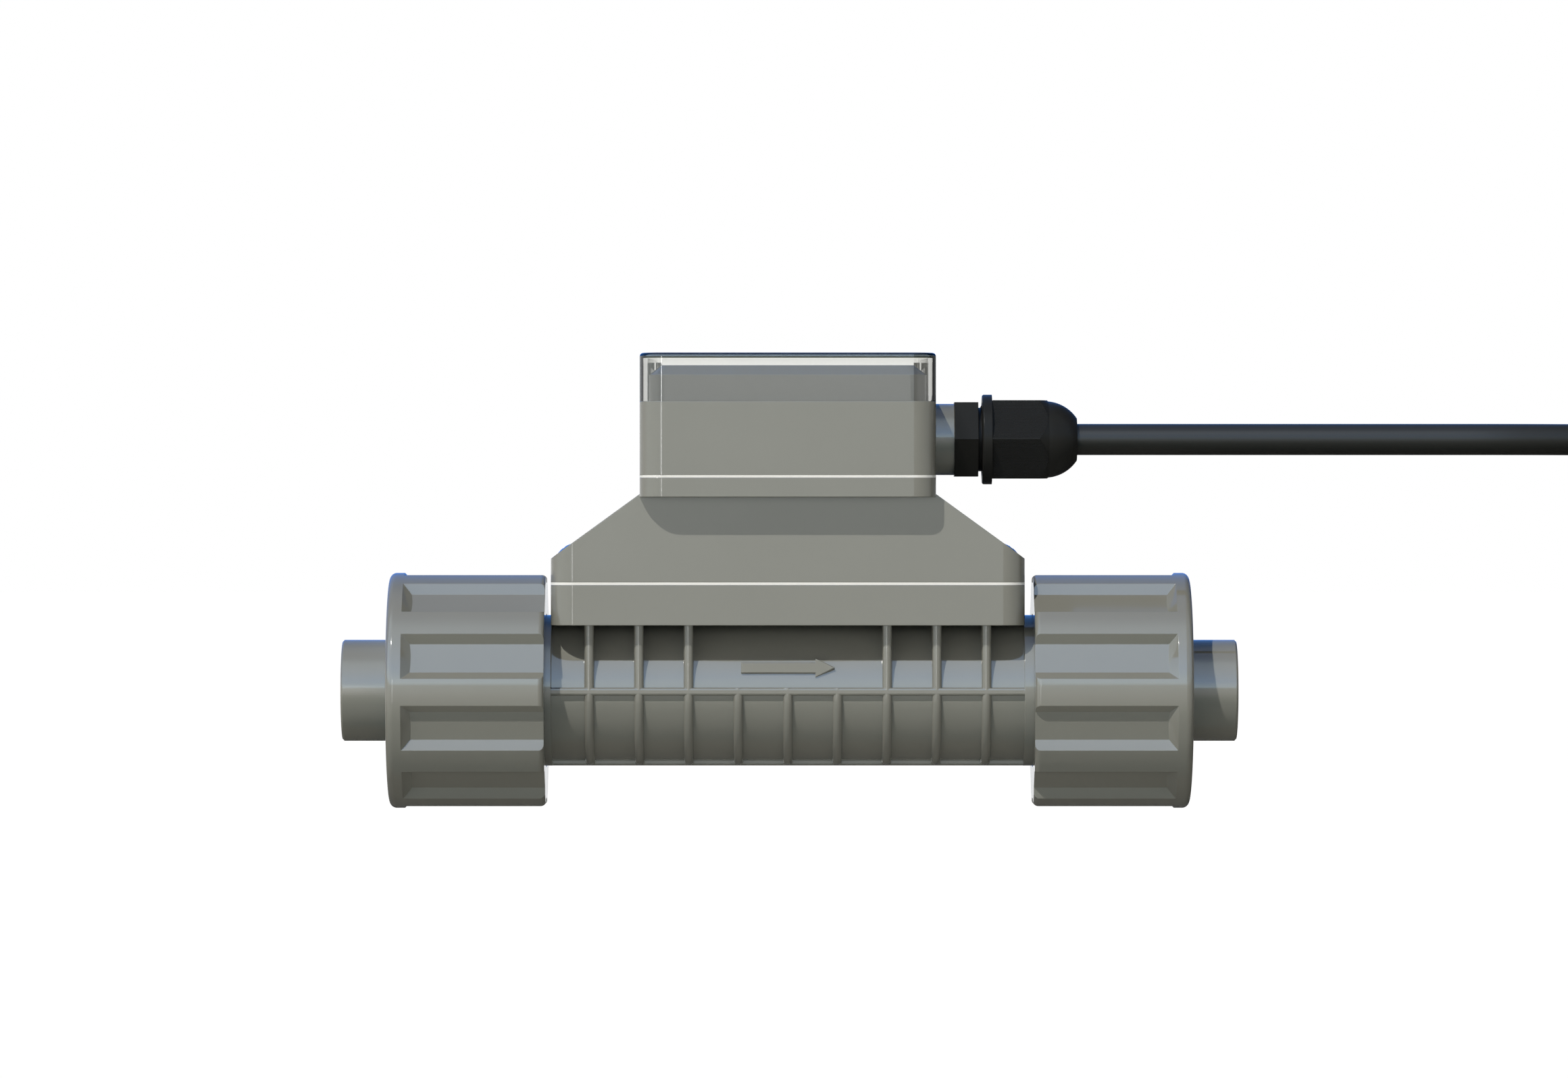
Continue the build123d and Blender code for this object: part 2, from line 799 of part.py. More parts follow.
with BuildPart() as head_housing:
    with BuildSketch(level(head_bottom)) as head_outline:
        Rectangle(head_length, head_depth)
        fillet(head_outline.vertices(), radius=head_round)
    extrude(amount=head_housing_height)
    with BuildSketch(Plane.YZ.offset(head_end)):
        with Locations(gland_centre):
            Circle(boss_radius)
    extrude(amount=boss_length)
    add(head_cavity.part, mode=Mode.SUBTRACT)
    with BuildSketch(Plane.YZ.offset(boss_end)):
        with Locations(gland_centre):
            Circle(gland_shank_radius + screw_gap)
    extrude(amount=-(boss_length + head_wall), mode=Mode.SUBTRACT)
    with BuildSketch(level(head_bottom)):
        Circle(lead_hole_radius)
        with GridLocations(2 * head_screw_x, 2 * head_screw_y, 2, 2):
            Circle(head_screw_radius + screw_gap)
    extrude(amount=head_floor, mode=Mode.SUBTRACT)
    with BuildSketch(level(post_top)):
        with GridLocations(2 * screw_post_x, 2 * screw_post_y, 2, 2):
            Circle(screw_radius + screw_gap)
    extrude(amount=-(block_screw_length - (block_top - post_top) + screw_tip_room), mode=Mode.SUBTRACT)
finish(head_housing.part, "head_housing")

# Head screws, down through the floor into the sensor housing's flange
with BuildPart() as head_screws:
    with BuildSketch(level(head_floor_top)):
        with GridLocations(2 * head_screw_x, 2 * head_screw_y, 2, 2):
            Circle(head_screw_head_radius)
    extrude(amount=head_screw_head_height)
    fillet(head_screws.edges().group_by(Axis.Z)[-1], radius=head_screw_head_round)
    with BuildSketch(level(head_floor_top)):
        with GridLocations(2 * head_screw_x, 2 * head_screw_y, 2, 2):
            Circle(head_screw_radius)
    extrude(amount=-head_screw_length)
    with BuildSketch(level(head_floor_top + head_screw_head_height)):
        with GridLocations(2 * head_screw_x, 2 * head_screw_y, 2, 2):
            RegularPolygon(head_screw_socket_radius, 6)
    extrude(amount=-head_screw_socket_depth, mode=Mode.SUBTRACT)
finish(head_screws.part, "head_screws")

# Main board on its standoffs, with the larger components
with BuildPart() as main_board:
    with BuildSketch(level(head_floor_top + standoff_height)):
        Rectangle(main_board_length, main_board_depth)
    extrude(amount=board_thickness)
    with BuildSketch(level(main_board_top)):
        with Locations(processor_place):
            Rectangle(processor_size, processor_size)
        with Locations(driver_place):
            Rectangle(driver_length, driver_depth)
    extrude(amount=chip_height)
    with BuildSketch(level(main_board_top)):
        with Locations((capacitor_x, capacitor_y), (capacitor_x, -capacitor_y)):
            Circle(capacitor_radius)
    extrude(amount=capacitor_height)
finish(main_board.part, "main_board")

# Terminal block at the board's outlet end, and the wires that enter it
terminal_face = cable_start - terminal_gap
with BuildPart() as terminal_block:
    with BuildSketch(level(main_board_top)):
        with Locations((terminal_face - terminal_length / 2, 0)):
            Rectangle(terminal_length, terminal_depth)
    extrude(amount=terminal_height)
    chamfer(terminal_block.edges().group_by(Axis.Z)[-1].filter_by(Axis.Y), length=terminal_slope)
    with BuildSketch(level(main_board_top + terminal_height)):
        with Locations((terminal_face - terminal_length / 2, 0)):
            with GridLocations(1, terminal_depth / terminal_ways, 1, terminal_ways):
                Circle(terminal_screw_radius)
    extrude(amount=-terminal_screw_depth, mode=Mode.SUBTRACT)
finish(terminal_block.part, "terminal_block")

wire_set = []
for number in range(terminal_ways):
    offset = number - (terminal_ways - 1) / 2
    inner = (body_centre + terminal_face, offset * wire_pitch, gland_height)
    outer = (body_centre + cable_start, offset * wire_pitch, gland_height)
    wire_set.append(rod(inner, outer, wire_radius))
with BuildPart() as terminal_wires:
    add(wire_set)
finish(terminal_wires.part, "terminal_wires")

# Display block: a bevelled cap with a lip, posts, pegs, a window ledge and key holes
block_length = head_length - 2 * block_inset
block_depth = head_depth - 2 * block_inset
display_standoff_length = display_board_length - 2 * display_standoff_end_inset
display_standoff_depth = display_board_depth - 2 * display_standoff_side_inset
with BuildPart() as block_cavity:
    with BuildSketch(level(post_top)) as inner_outline:
        Rectangle(lip_length - 2 * block_lip_wall, lip_depth - 2 * block_lip_wall)
        fillet(inner_outline.vertices(), radius=block_lip_wall)
    extrude(amount=plate_bottom - post_top)
    with BuildSketch(level(post_top)):
        with GridLocations(2 * screw_post_x, 2 * screw_post_y, 2, 2):
            Circle(screw_post_radius)
    extrude(amount=plate_bottom - post_top, mode=Mode.SUBTRACT)
    with BuildSketch(level(display_board_top)):
        with GridLocations(display_standoff_length, display_standoff_depth, 2, 2):
            Circle(standoff_radius)
    extrude(amount=plate_bottom - display_board_top, mode=Mode.SUBTRACT)

block_screw_seats = []
for along in (-1, 1):
    for deep in (-1, 1):
        place = (body_centre + along * screw_post_x, deep * screw_post_y, block_top)
        block_screw_seats.append(Plane(origin=place, z_dir=(0, 0, 1)))

with BuildPart() as display_block:
    with BuildSketch(level(head_top)) as block_outline:
        Rectangle(block_length, block_depth)
        fillet(block_outline.vertices(), radius=block_round)
    extrude(amount=block_height - block_slope_height)
    with BuildSketch(level(block_top - block_slope_height)) as slope_foot:
        Rectangle(block_length, block_depth)
        fillet(slope_foot.vertices(), radius=block_round)
    with BuildSketch(level(block_top)) as slope_head:
        Rectangle(block_length - 2 * block_slope_width, block_depth - 2 * block_slope_width)
        fillet(slope_head.vertices(), radius=block_round - block_slope_width / 2)
    loft(ruled=True)
    with BuildSketch(level(head_top)) as lip_outline:
        Rectangle(lip_length, lip_depth)
        fillet(lip_outline.vertices(), radius=head_round - wall)
    extrude(amount=-block_lip)
    add(block_cavity.part, mode=Mode.SUBTRACT)
    with BuildSketch(level(block_top)):
        with Locations((0, window_y)):
            Rectangle(window_length, window_depth)
    extrude(amount=-window_thickness, mode=Mode.SUBTRACT)
    with BuildSketch(level(block_top)):
        with Locations((0, window_y)):
            Rectangle(window_length - 2 * window_ledge, window_depth - 2 * window_ledge)
        with Locations((0, key_y)):
            with GridLocations(key_spacing, 1, 3, 1):
                Circle(key_radius + running_gap)
    extrude(amount=-block_plate, mode=Mode.SUBTRACT)
    for seat in block_screw_seats:
        add(screw_hole(seat, block_top - post_top + screw_tip_room), mode=Mode.SUBTRACT)
finish(display_block.part, "display_block")

block_screw_set = [countersunk_screw(seat, block_screw_length, 0) for seat in block_screw_seats]
with BuildPart() as block_screws:
    add(block_screw_set)
finish(block_screws.part, "block_screws")

with BuildPart() as display_window:
    with BuildSketch(level(block_top)):
        with Locations((0, window_y)):
            Rectangle(window_length - 2 * window_gap, window_depth - 2 * window_gap)
    extrude(amount=-window_thickness)
finish(display_window.part, "display_window")

with BuildPart() as lcd_module:
    with BuildSketch(level(display_board_top)):
        with Locations((0, window_y)):
            Rectangle(lcd_length, lcd_depth)
    extrude(amount=plate_bottom - display_board_top - board_gap)
finish(lcd_module.part, "lcd_module")

# Display board with one switch under each key
key_flange_top = plate_bottom - key_flange_gap
switch_height = key_flange_top - key_flange - key_travel - key_switch_gap - display_board_top
with BuildPart() as display_board:
    with BuildSketch(level(display_board_top)):
        Rectangle(display_board_length, display_board_depth)
    extrude(amount=-board_thickness)
    with BuildSketch(level(display_board_top)):
        with Locations((0, key_y)):
            with GridLocations(key_spacing, 1, 3, 1):
                Rectangle(switch_size, switch_size)
    extrude(amount=switch_height)
finish(display_board.part, "display_board")


def display_key(place):
    """A push button held under the block's top plate by its flange."""
    with BuildPart() as key:
        with BuildSketch(Plane.XY.move(Location((place, key_y, key_flange_top)))):
            Circle(key_radius)
        extrude(amount=block_top - key_sink - key_flange_top)
        fillet(key.edges().group_by(Axis.Z)[-1], radius=key_edge_round)
        with BuildSketch(Plane.XY.move(Location((place, key_y, key_flange_top)))):
            Circle(key_flange_radius)
        extrude(amount=-key_flange)
    return key.part


key_names = ["left_key", "middle_key", "right_key"]
for number, name in enumerate(key_names):
    finish(display_key(body_centre + (number - 1) * key_spacing), name)

# Clear cover, a thin cap over the display block
with BuildPart() as clear_cover:
    with BuildSketch(level(head_top)) as cover_outline:
        Rectangle(head_length, head_depth)
        fillet(cover_outline.vertices(), radius=head_round)
    extrude(amount=cover_height)
    fillet(clear_cover.edges().group_by(Axis.Z)[-1], radius=cover_edge_round)
    with BuildSketch(level(head_top)) as cover_room:
        Rectangle(head_length - 2 * cover_wall, head_depth - 2 * cover_wall)
        fillet(cover_room.vertices(), radius=head_round - cover_wall)
    extrude(amount=cover_height - cover_top, mode=Mode.SUBTRACT)
finish(clear_cover.part, "clear_cover")

# Cable gland: stations are measured out from the boss's end face
gland_axis = Axis((boss_end, 0, gland_height), (1, 0, 0))
gland_side = Plane(origin=(boss_end, 0, gland_height), x_dir=(1, 0, 0), z_dir=(0, -1, 0))
gland_face = Plane(origin=(boss_end, 0, gland_height), x_dir=(0, 1, 0), z_dir=(1, 0, 0))
gland_nose = gland_hex_length + gland_thread_length
gland_shank_length = boss_length + head_wall - gland_shank_setback
cap_start = gland_hex_length + gland_neck_length
cap_hex_start = cap_start + cap_flange
cap_dome_start = cap_hex_start + cap_hex_length
cap_end = cap_dome_start + cap_dome_length

with BuildPart() as gland_body:
    with BuildSketch(gland_face):
        RegularPolygon(gland_hex_width / 2, 6, major_radius=False)
    extrude(amount=gland_hex_length)
    with BuildSketch(gland_face):
        Circle(gland_shank_radius)
    extrude(amount=-gland_shank_length)
    with BuildSketch(gland_face.offset(gland_hex_length)):
        Circle(gland_root_radius)
    extrude(amount=gland_thread_length)
    with BuildSketch(gland_side):
        Polygon(
            (-gland_shank_length, 0),
            (-gland_shank_length, gland_bore_radius),
            (gland_nose - gland_seat_depth - gland_seat_slope, gland_bore_radius),
            (gland_nose - gland_seat_depth, gland_seat_radius),
            (gland_nose, gland_seat_radius),
            (gland_nose, 0),
            align=None,
        )
    revolve(axis=gland_axis, mode=Mode.SUBTRACT)
    with BuildSketch(gland_face):
        Circle(gland_o_ring_radius + gland_o_ring_section / 2 + gland_o_ring_side_room)
        Circle(
            gland_o_ring_radius - gland_o_ring_section / 2 - gland_o_ring_side_room,
            mode=Mode.SUBTRACT,
        )
    extrude(amount=gland_o_ring_section, mode=Mode.SUBTRACT)
finish(gland_body.part, "gland_body")

with BuildPart() as gland_o_ring:
    with BuildSketch(gland_side):
        with Locations((gland_o_ring_section / 2, gland_o_ring_radius)):
            Circle(gland_o_ring_section / 2)
    revolve(axis=gland_axis)
finish(gland_o_ring.part, "gland_o_ring")

# The seal rides out with the cap nut and grips the cable when the nut is tight
seal_start = gland_nose - gland_seat_depth + running_gap
seal_inner = cable_radius + running_gap
seal_outer = gland_seat_radius - running_gap
seal_collar_radius = gland_thread_radius - running_gap
seal_tip_radius = seal_outer - seal_chamfer
collar_start = gland_nose + seal_collar_start
collar_end = collar_start + seal_collar_thickness
seal_end = collar_end + seal_cone_length
with BuildPart() as gland_seal:
    with BuildSketch(gland_side):
        Polygon(
            (seal_start, seal_inner),
            (seal_start, seal_tip_radius),
            (seal_start + seal_chamfer, seal_outer),
            (collar_start, seal_outer),
            (collar_start, seal_collar_radius),
            (collar_end, seal_collar_radius),
            (seal_end, seal_tip_radius),
            (seal_end, seal_inner),
            align=None,
        )
    revolve(axis=gland_axis)
finish(gland_seal.part, "gland_seal")

# Cap nut: flange, hexagon with turned-down corners, and a domed nose
dome_centre = cap_end - sqrt(cap_dome_radius**2 - cap_mouth_radius**2)
hex_corner = cap_hex_width / sqrt(3)
with BuildPart() as gland_cap_nut:
    with BuildSketch(gland_face.offset(cap_hex_start)):
        RegularPolygon(cap_hex_width / 2, 6, major_radius=False)
    extrude(amount=cap_hex_length)
    with BuildSketch(gland_side):
        Polygon(
            (cap_hex_start, 0),
            (cap_hex_start, hex_corner),
            (cap_dome_start - cap_corner_slope, hex_corner),
            (cap_dome_start, cap_dome_radius),
            (cap_dome_start, 0),
            align=None,
        )
    revolve(axis=gland_axis, mode=Mode.INTERSECT)
    with BuildSketch(gland_face.offset(cap_start)):
        Circle(cap_flange_radius)
    extrude(amount=cap_flange)
    flange_rim = gland_cap_nut.edges().filter_by(GeomType.CIRCLE).sort_by(Axis.X)[0]
    fillet(flange_rim, radius=cap_flange_round)
    with BuildSketch(gland_side):
        with BuildLine():
            mouth = (cap_end, cap_mouth_radius)
            dome_foot_radius = sqrt(cap_dome_radius**2 - max(cap_dome_start - dome_centre, 0) ** 2)
            Polyline((cap_dome_start, dome_foot_radius), (cap_dome_start, 0), (cap_end, 0), mouth)
            bulge = (dome_centre + cap_dome_radius * cos(pi / 4), cap_dome_radius * sin(pi / 4))
            ThreePointArc(mouth, bulge, (cap_dome_start, dome_foot_radius))
        make_face()
    revolve(axis=gland_axis)
    with BuildSketch(gland_side):
        Polygon(
            (cap_start, 0),
            (cap_start, cap_bore_radius),
            (collar_end + running_gap, cap_bore_radius),
            (seal_end + running_gap, seal_tip_radius + running_gap),
            (gland_nose + cap_cone_end, cap_hole_radius),
            (cap_end, cap_hole_radius),
            (cap_end, 0),
            align=None,
        )
    revolve(axis=gland_axis, mode=Mode.SUBTRACT)
finish(gland_cap_nut.part, "gland_cap_nut")

# Cable: straight out of the gland, then aside to the coil, which leaves the pipe's path free
coil_centre_x = body_centre + coil_x
coil_centre_z = gland_height - coil_turn_radius
coil_width = coil_turns * coil_pitch
coil_back = coil_set_back + coil_width
cable_end = coil_centre_x - coil_stub
bend_reach = cable_bend_radius * tan(cable_bend_angle / 2)
slant_end = cable_end - bend_reach - coil_side_room
slant_start = slant_end - coil_set_back / tan(cable_bend_angle)
with BuildPart() as cable:
    with BuildLine():
        FilletPolyline(
            (body_centre + cable_start, 0, gland_height),
            (slant_start, 0, gland_height),
            (slant_end, coil_set_back, gland_height),
            (cable_end, coil_set_back, gland_height),
            radius=cable_bend_radius,
        )
    with BuildSketch(Plane.YZ.offset(body_centre + cable_start)):
        with Locations((0, gland_height)):
            Circle(cable_radius)
    sweep()
finish(cable.part, "cable")

# Coil: a band round the turns, with the stubs where the cable joins and leaves it
tail_x = coil_centre_x + coil_turn_radius
tail_start = coil_centre_z - coil_stub
with BuildPart() as cable_coil:
    with BuildSketch(Plane.XZ.offset(cable_radius + coil_side_room - coil_set_back)):
        with Locations((coil_centre_x, coil_centre_z)):
            Circle(coil_turn_radius + cable_radius)
            Circle(coil_turn_radius - cable_radius, mode=Mode.SUBTRACT)
    extrude(amount=-(coil_width + 2 * (cable_radius + coil_side_room)))
    with BuildSketch(Plane.YZ.offset(cable_end)):
        with Locations((coil_set_back, gland_height)):
            Circle(cable_radius)
    extrude(amount=coil_stub - coil_stub_set_in)
    with BuildSketch(Plane.XY.offset(tail_start)):
        with Locations((tail_x, coil_back)):
            Circle(cable_radius)
    extrude(amount=coil_stub - coil_stub_set_in)
finish(cable_coil.part, "cable_coil")

tail_end = coil_centre_z - tail_length
finish(rod((tail_x, coil_back, tail_start), (tail_x, coil_back, tail_end), cable_radius), "cable_tail")

# Ties round the band, one of them at its lowest point
with BuildPart() as cable_ties:
    for turn in tie_turns:
        middle_y = coil_set_back + coil_width / 2
        round_coil = Location((coil_centre_x, middle_y, coil_centre_z), (0, -turn, 0))
        start = Plane(round_coil * Location((coil_turn_radius, 0, -tie_width / 2)))
        with BuildSketch(start):
            Rectangle(
                2 * (cable_radius + tie_gap + tie_thickness),
                coil_width + 2 * (cable_radius + tie_gap + tie_thickness),
            )
            Rectangle(
                2 * (cable_radius + tie_gap),
                coil_width + 2 * (cable_radius + tie_gap),
                mode=Mode.SUBTRACT,
            )
        extrude(amount=tie_width)
finish(cable_ties.part, "cable_ties")

# Stripped end: four cores that spread, each with a crimped sleeve
core_set = []
ferrule_set = []
for number in range(core_count):
    angle = (number + 0.5) * 2 * pi / core_count
    core_x = tail_x + core_spread * cos(angle)
    core_y = coil_back + core_spread * sin(angle)
    root = Vector(core_x, core_y, tail_end - core_gap)
    spread = Vector(core_splay * cos(angle), core_splay * sin(angle), -1).normalized()
    core_end = root + spread * (core_length - ferrule_length)
    core_set.append(rod(root, core_end, core_radius))
    ferrule_set.append(rod(core_end, core_end + spread * ferrule_length, ferrule_radius))
with BuildPart() as cable_cores:
    add(core_set)
finish(cable_cores.part, "cable_cores")
with BuildPart() as core_ferrules:
    add(ferrule_set)
finish(core_ferrules.part, "core_ferrules")

coil_length = coil_turns * hypot(2 * pi * coil_turn_radius, coil_pitch)
run_out = coil_centre_x - boss_end - cap_end
slant_extra = coil_set_back * tan(cable_bend_angle / 2)
print("cable length outside the gland", round(run_out + slant_extra + coil_length + tail_length, 1))
print("cable bend radii", cable_bend_radius, coil_turn_radius, "cable diameter", 2 * cable_radius)
print("shoulder angle", round(degrees(shoulder_angle), 2))
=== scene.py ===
"""Dresses an inline ultrasonic flow meter: its finishes, threads, grips, cable, ties and studio."""

import json
from math import cos, hypot, pi, radians, sin, sqrt, tan, tau

import bmesh
import bpy
from mathutils import Matrix, Vector


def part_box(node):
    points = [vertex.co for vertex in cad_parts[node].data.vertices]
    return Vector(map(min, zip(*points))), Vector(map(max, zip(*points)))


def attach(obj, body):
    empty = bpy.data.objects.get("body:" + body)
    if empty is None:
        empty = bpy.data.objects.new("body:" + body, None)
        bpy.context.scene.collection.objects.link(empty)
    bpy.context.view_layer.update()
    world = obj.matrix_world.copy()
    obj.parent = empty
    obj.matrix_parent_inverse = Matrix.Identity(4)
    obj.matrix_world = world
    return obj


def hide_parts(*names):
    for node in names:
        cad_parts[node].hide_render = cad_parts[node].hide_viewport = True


bl_info = {
    "name": "Inline Flow Meter Dressing",
    "version": (1, 0, 0),
    "blender": (4, 5, 0),
    "location": "View3D > Sidebar > Flow Meter",
    "description": "Finishes and fine pieces of an inline ultrasonic flow meter",
    "category": "Object",
}

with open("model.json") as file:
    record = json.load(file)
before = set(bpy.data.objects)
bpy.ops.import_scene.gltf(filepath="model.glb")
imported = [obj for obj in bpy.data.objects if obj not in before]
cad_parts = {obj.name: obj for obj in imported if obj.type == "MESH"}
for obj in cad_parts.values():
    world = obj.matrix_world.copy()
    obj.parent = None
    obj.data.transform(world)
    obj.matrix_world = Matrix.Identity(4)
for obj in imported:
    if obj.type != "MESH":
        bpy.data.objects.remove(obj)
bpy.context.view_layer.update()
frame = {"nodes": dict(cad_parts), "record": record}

MM = 0.001

# Typical refractive indices of the plastics
VINYL_IOR = 1.53
ABS_IOR = 1.54
NYLON_IOR = 1.53
RUBBER_IOR = 1.52
SILICONE_IOR = 1.41
POLYCARBONATE_IOR = 1.585
ACRYLIC_IOR = 1.49

# Skies: the colour at each height, which is the sine of its elevation
MATT_SKY = (
    (-1.0, (0.01, 0.01, 0.01)),
    (-0.02, (0.02, 0.02, 0.02)),
    (0.0, (1.0, 1.0, 0.99)),
    (0.15, (1.0, 1.0, 0.99)),
    (0.18, (0.03, 0.03, 0.03)),
    (1.0, (0.03, 0.032, 0.036)),
)
FRONT_SKY = (
    (-1.0, (0.01, 0.025, 0.03)),
    (-0.5, (0.02, 0.045, 0.055)),
    (-0.3, (0.09, 0.12, 0.12)),
    (-0.08, (0.27, 0.29, 0.3)),
    (0.1, (0.33, 0.39, 0.41)),
    (0.13, (0.64, 0.84, 1.0)),
    (0.36, (0.39, 0.6, 0.93)),
    (0.75, (0.35, 0.47, 0.66)),
    (0.9, (0.3, 0.4, 0.54)),
    (0.97, (0.11, 0.17, 0.3)),
    (1.0, (0.08, 0.12, 0.22)),
)
BACK_SKY = (
    (-1.0, (0.01, 0.01, 0.01)),
    (-0.1, (0.02, 0.02, 0.02)),
    (-0.06, (0.2, 0.2, 0.2)),
    (0.06, (0.2, 0.21, 0.22)),
    (0.1, (0.01, 0.06, 0.21)),
    (0.44, (0.02, 0.066, 0.187)),
    (0.85, (0.018, 0.055, 0.14)),
    (1.0, (0.08, 0.12, 0.22)),
)

# Fades of the skies' strength towards the right, away from the key light, by the direction's X
MATT_FADE = {"From Min": 0.1, "From Max": 0.7, "To Min": 2.1, "To Max": 0.5}
FRONT_FADE = {"From Min": 0.06, "From Max": 0.16, "To Min": 4.5, "To Max": 1.8}
BACK_FADE = {"From Min": 0.1, "From Max": 0.35, "To Min": 4.5, "To Max": 1.2}

# Where the front sky gives way to the back one, by the direction's Y
FRONT_TO_BACK = {"From Min": -0.12, "From Max": 0.12}

# White that the clear cover bends into view: a card in the middle, wings beside it, both low
CARD_FADE = {"From Min": 0.035, "From Max": 0.055, "To Min": 1, "To Max": 0}
WINGS_FADE = {"From Min": 0.3, "From Max": 0.6, "To Min": 0, "To Max": 0.7}
LOW_FADE = {"From Min": 0.12, "From Max": 0.2, "To Min": 1, "To Max": 0}
FLAGS_TO_SKY = {"From Min": 0.3, "From Max": 0.5}
FLAG_COLOUR = (0.04, 0.035, 0.025, 1)

# The floor's colour for bounced light is painted darker near the pipe's axis, as painted shade under the
# object; its light on the object's underside grows with the distance from the axis, in metres
UNDER_OBJECT_SHADE_FADE = {"From Min": 0.03, "From Max": 0.2, "To Min": 0.25, "To Max": 1.0}
BOUNCE_COLOUR = (0.9, 0.9, 0.86, 1)

# Places that the solids give, in metres
tube_low, tube_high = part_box("measuring_tube")
cap_low, cap_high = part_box("gland_cap_nut")
coil_low, coil_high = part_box("cable_coil")
gland_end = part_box("gland_body")[1].x
tail_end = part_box("cable_tail")[0].z
body_centre = (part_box("sensor_housing")[0].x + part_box("sensor_housing")[1].x) / 2
gland_height = (cap_low.z + cap_high.z) / 2


def linear(hex_colour):
    """The linear RGBA of an sRGB hex colour such as #8b8c85."""
    parts = [int(hex_colour[i : i + 2], 16) / 255 for i in (1, 3, 5)]
    return [p / 12.92 if p <= 0.04045 else ((p + 0.055) / 1.055) ** 2.4 for p in parts] + [1.0]


def length(name, description, default):
    """A size property in metres."""
    return bpy.props.FloatProperty(
        name=name,
        description=description,
        default=default,
        min=0,
        precision=5,
        unit="LENGTH",
        subtype="DISTANCE",
    )


def colour(name, description, default):
    """A colour property whose default is a hex colour."""
    return bpy.props.FloatVectorProperty(
        name=name, description=description, default=linear(default), size=4, min=0, max=1, subtype="COLOR"
    )


class MeterSizes(bpy.types.PropertyGroup):
    """Sizes of the pieces that are added to the solids."""

    cable_diameter: length("Cable diameter", "Outer diameter of the sheath", 8.8 * MM)
    cable_length: length("Cable length", "Whole length outside the gland", 2.0)
    coil_radius: length("Coil radius", "Radius of a turn at the cable's middle", 52.5 * MM)
    coil_pitch: length("Coil pitch", "How far a turn lies from the next", 8.8 * MM)
    coil_turns: bpy.props.FloatProperty(
        name="Coil turns", description="Turns of cable in the coil", default=5.25
    )
    coil_set_back: length("Coil set-back", "How far the coil stands behind the straight run", 19.0 * MM)
    slant_start: length("Slant start", "Where the cable turns aside, from the body's centre", 214.6 * MM)
    slant_end: length("Slant end", "Where the cable is straight again, from the body's centre", 247.5 * MM)
    neck_thread_radius: length("Neck thread radius", "Crest radius of the union thread", 20.95 * MM)
    neck_thread_pitch: length("Neck thread pitch", "Pitch of the union thread", 2.309 * MM)
    neck_thread_depth: length("Neck thread depth", "Height of the union thread's crest", 1.47 * MM)
    gland_thread_radius: length("Gland thread radius", "Crest radius of the cap nut's thread", 9.9 * MM)
    gland_thread_depth: length("Gland thread depth", "Height of the cap nut thread's crest", 0.92 * MM)
    gland_thread_pitch: length("Gland thread pitch", "Pitch of the cap nut's thread", 1.5 * MM)
    grip_pitch: length("Grip pitch", "Spacing of the fine grip lines on the cap nut", 0.42 * MM)
    edge_round: length("Edge round", "How round the moulded edges look", 0.3 * MM)


class MeterColours(bpy.types.PropertyGroup):
    """Colours of the finishes."""

    grey: colour("Grey", "Moulded grey of the tube, nuts and housings", "#8b8b84")
    block_grey: colour("Block grey", "Moulded grey of the display block", "#6a6a67")
    seal_white: colour("Seal white", "White gasket sheet", "#fdfdfb")
    black: colour("Black", "Black nylon of the gland", "#292928")
    sheath: colour("Sheath", "Black cable sheath", "#2b2a27")
    key_grey: colour("Key grey", "Caps of the three keys", "#565b5e")
    board_green: colour("Board green", "Solder resist of the boards", "#17603a")
    glass_grey: colour("Display grey", "Resting display glass", "#7c8a7c")
    floor: colour("Floor", "Pale studio floor", "#f4f4f4")


def add_node(tree, kind, inputs=None, **settings):
    """Adds one shader node, with its settings, and its inputs set or joined."""
    added = tree.nodes.new(kind)
    for name, value in settings.items():
        setattr(added, name, value)
    for name, value in (inputs or {}).items():
        if isinstance(value, bpy.types.NodeSocket):
            tree.links.new(value, added.inputs[name])
        else:
            added.inputs[name].default_value = value
    return added


def new_material(name):
    """An empty material and its tree."""
    material = bpy.data.materials.new(name)
    material.use_nodes = True
    material.node_tree.nodes.clear()
    return material, material.node_tree


def show(tree, surface):
    """Ends a tree with its output."""
    add_node(tree, "ShaderNodeOutputMaterial", {"Surface": surface})


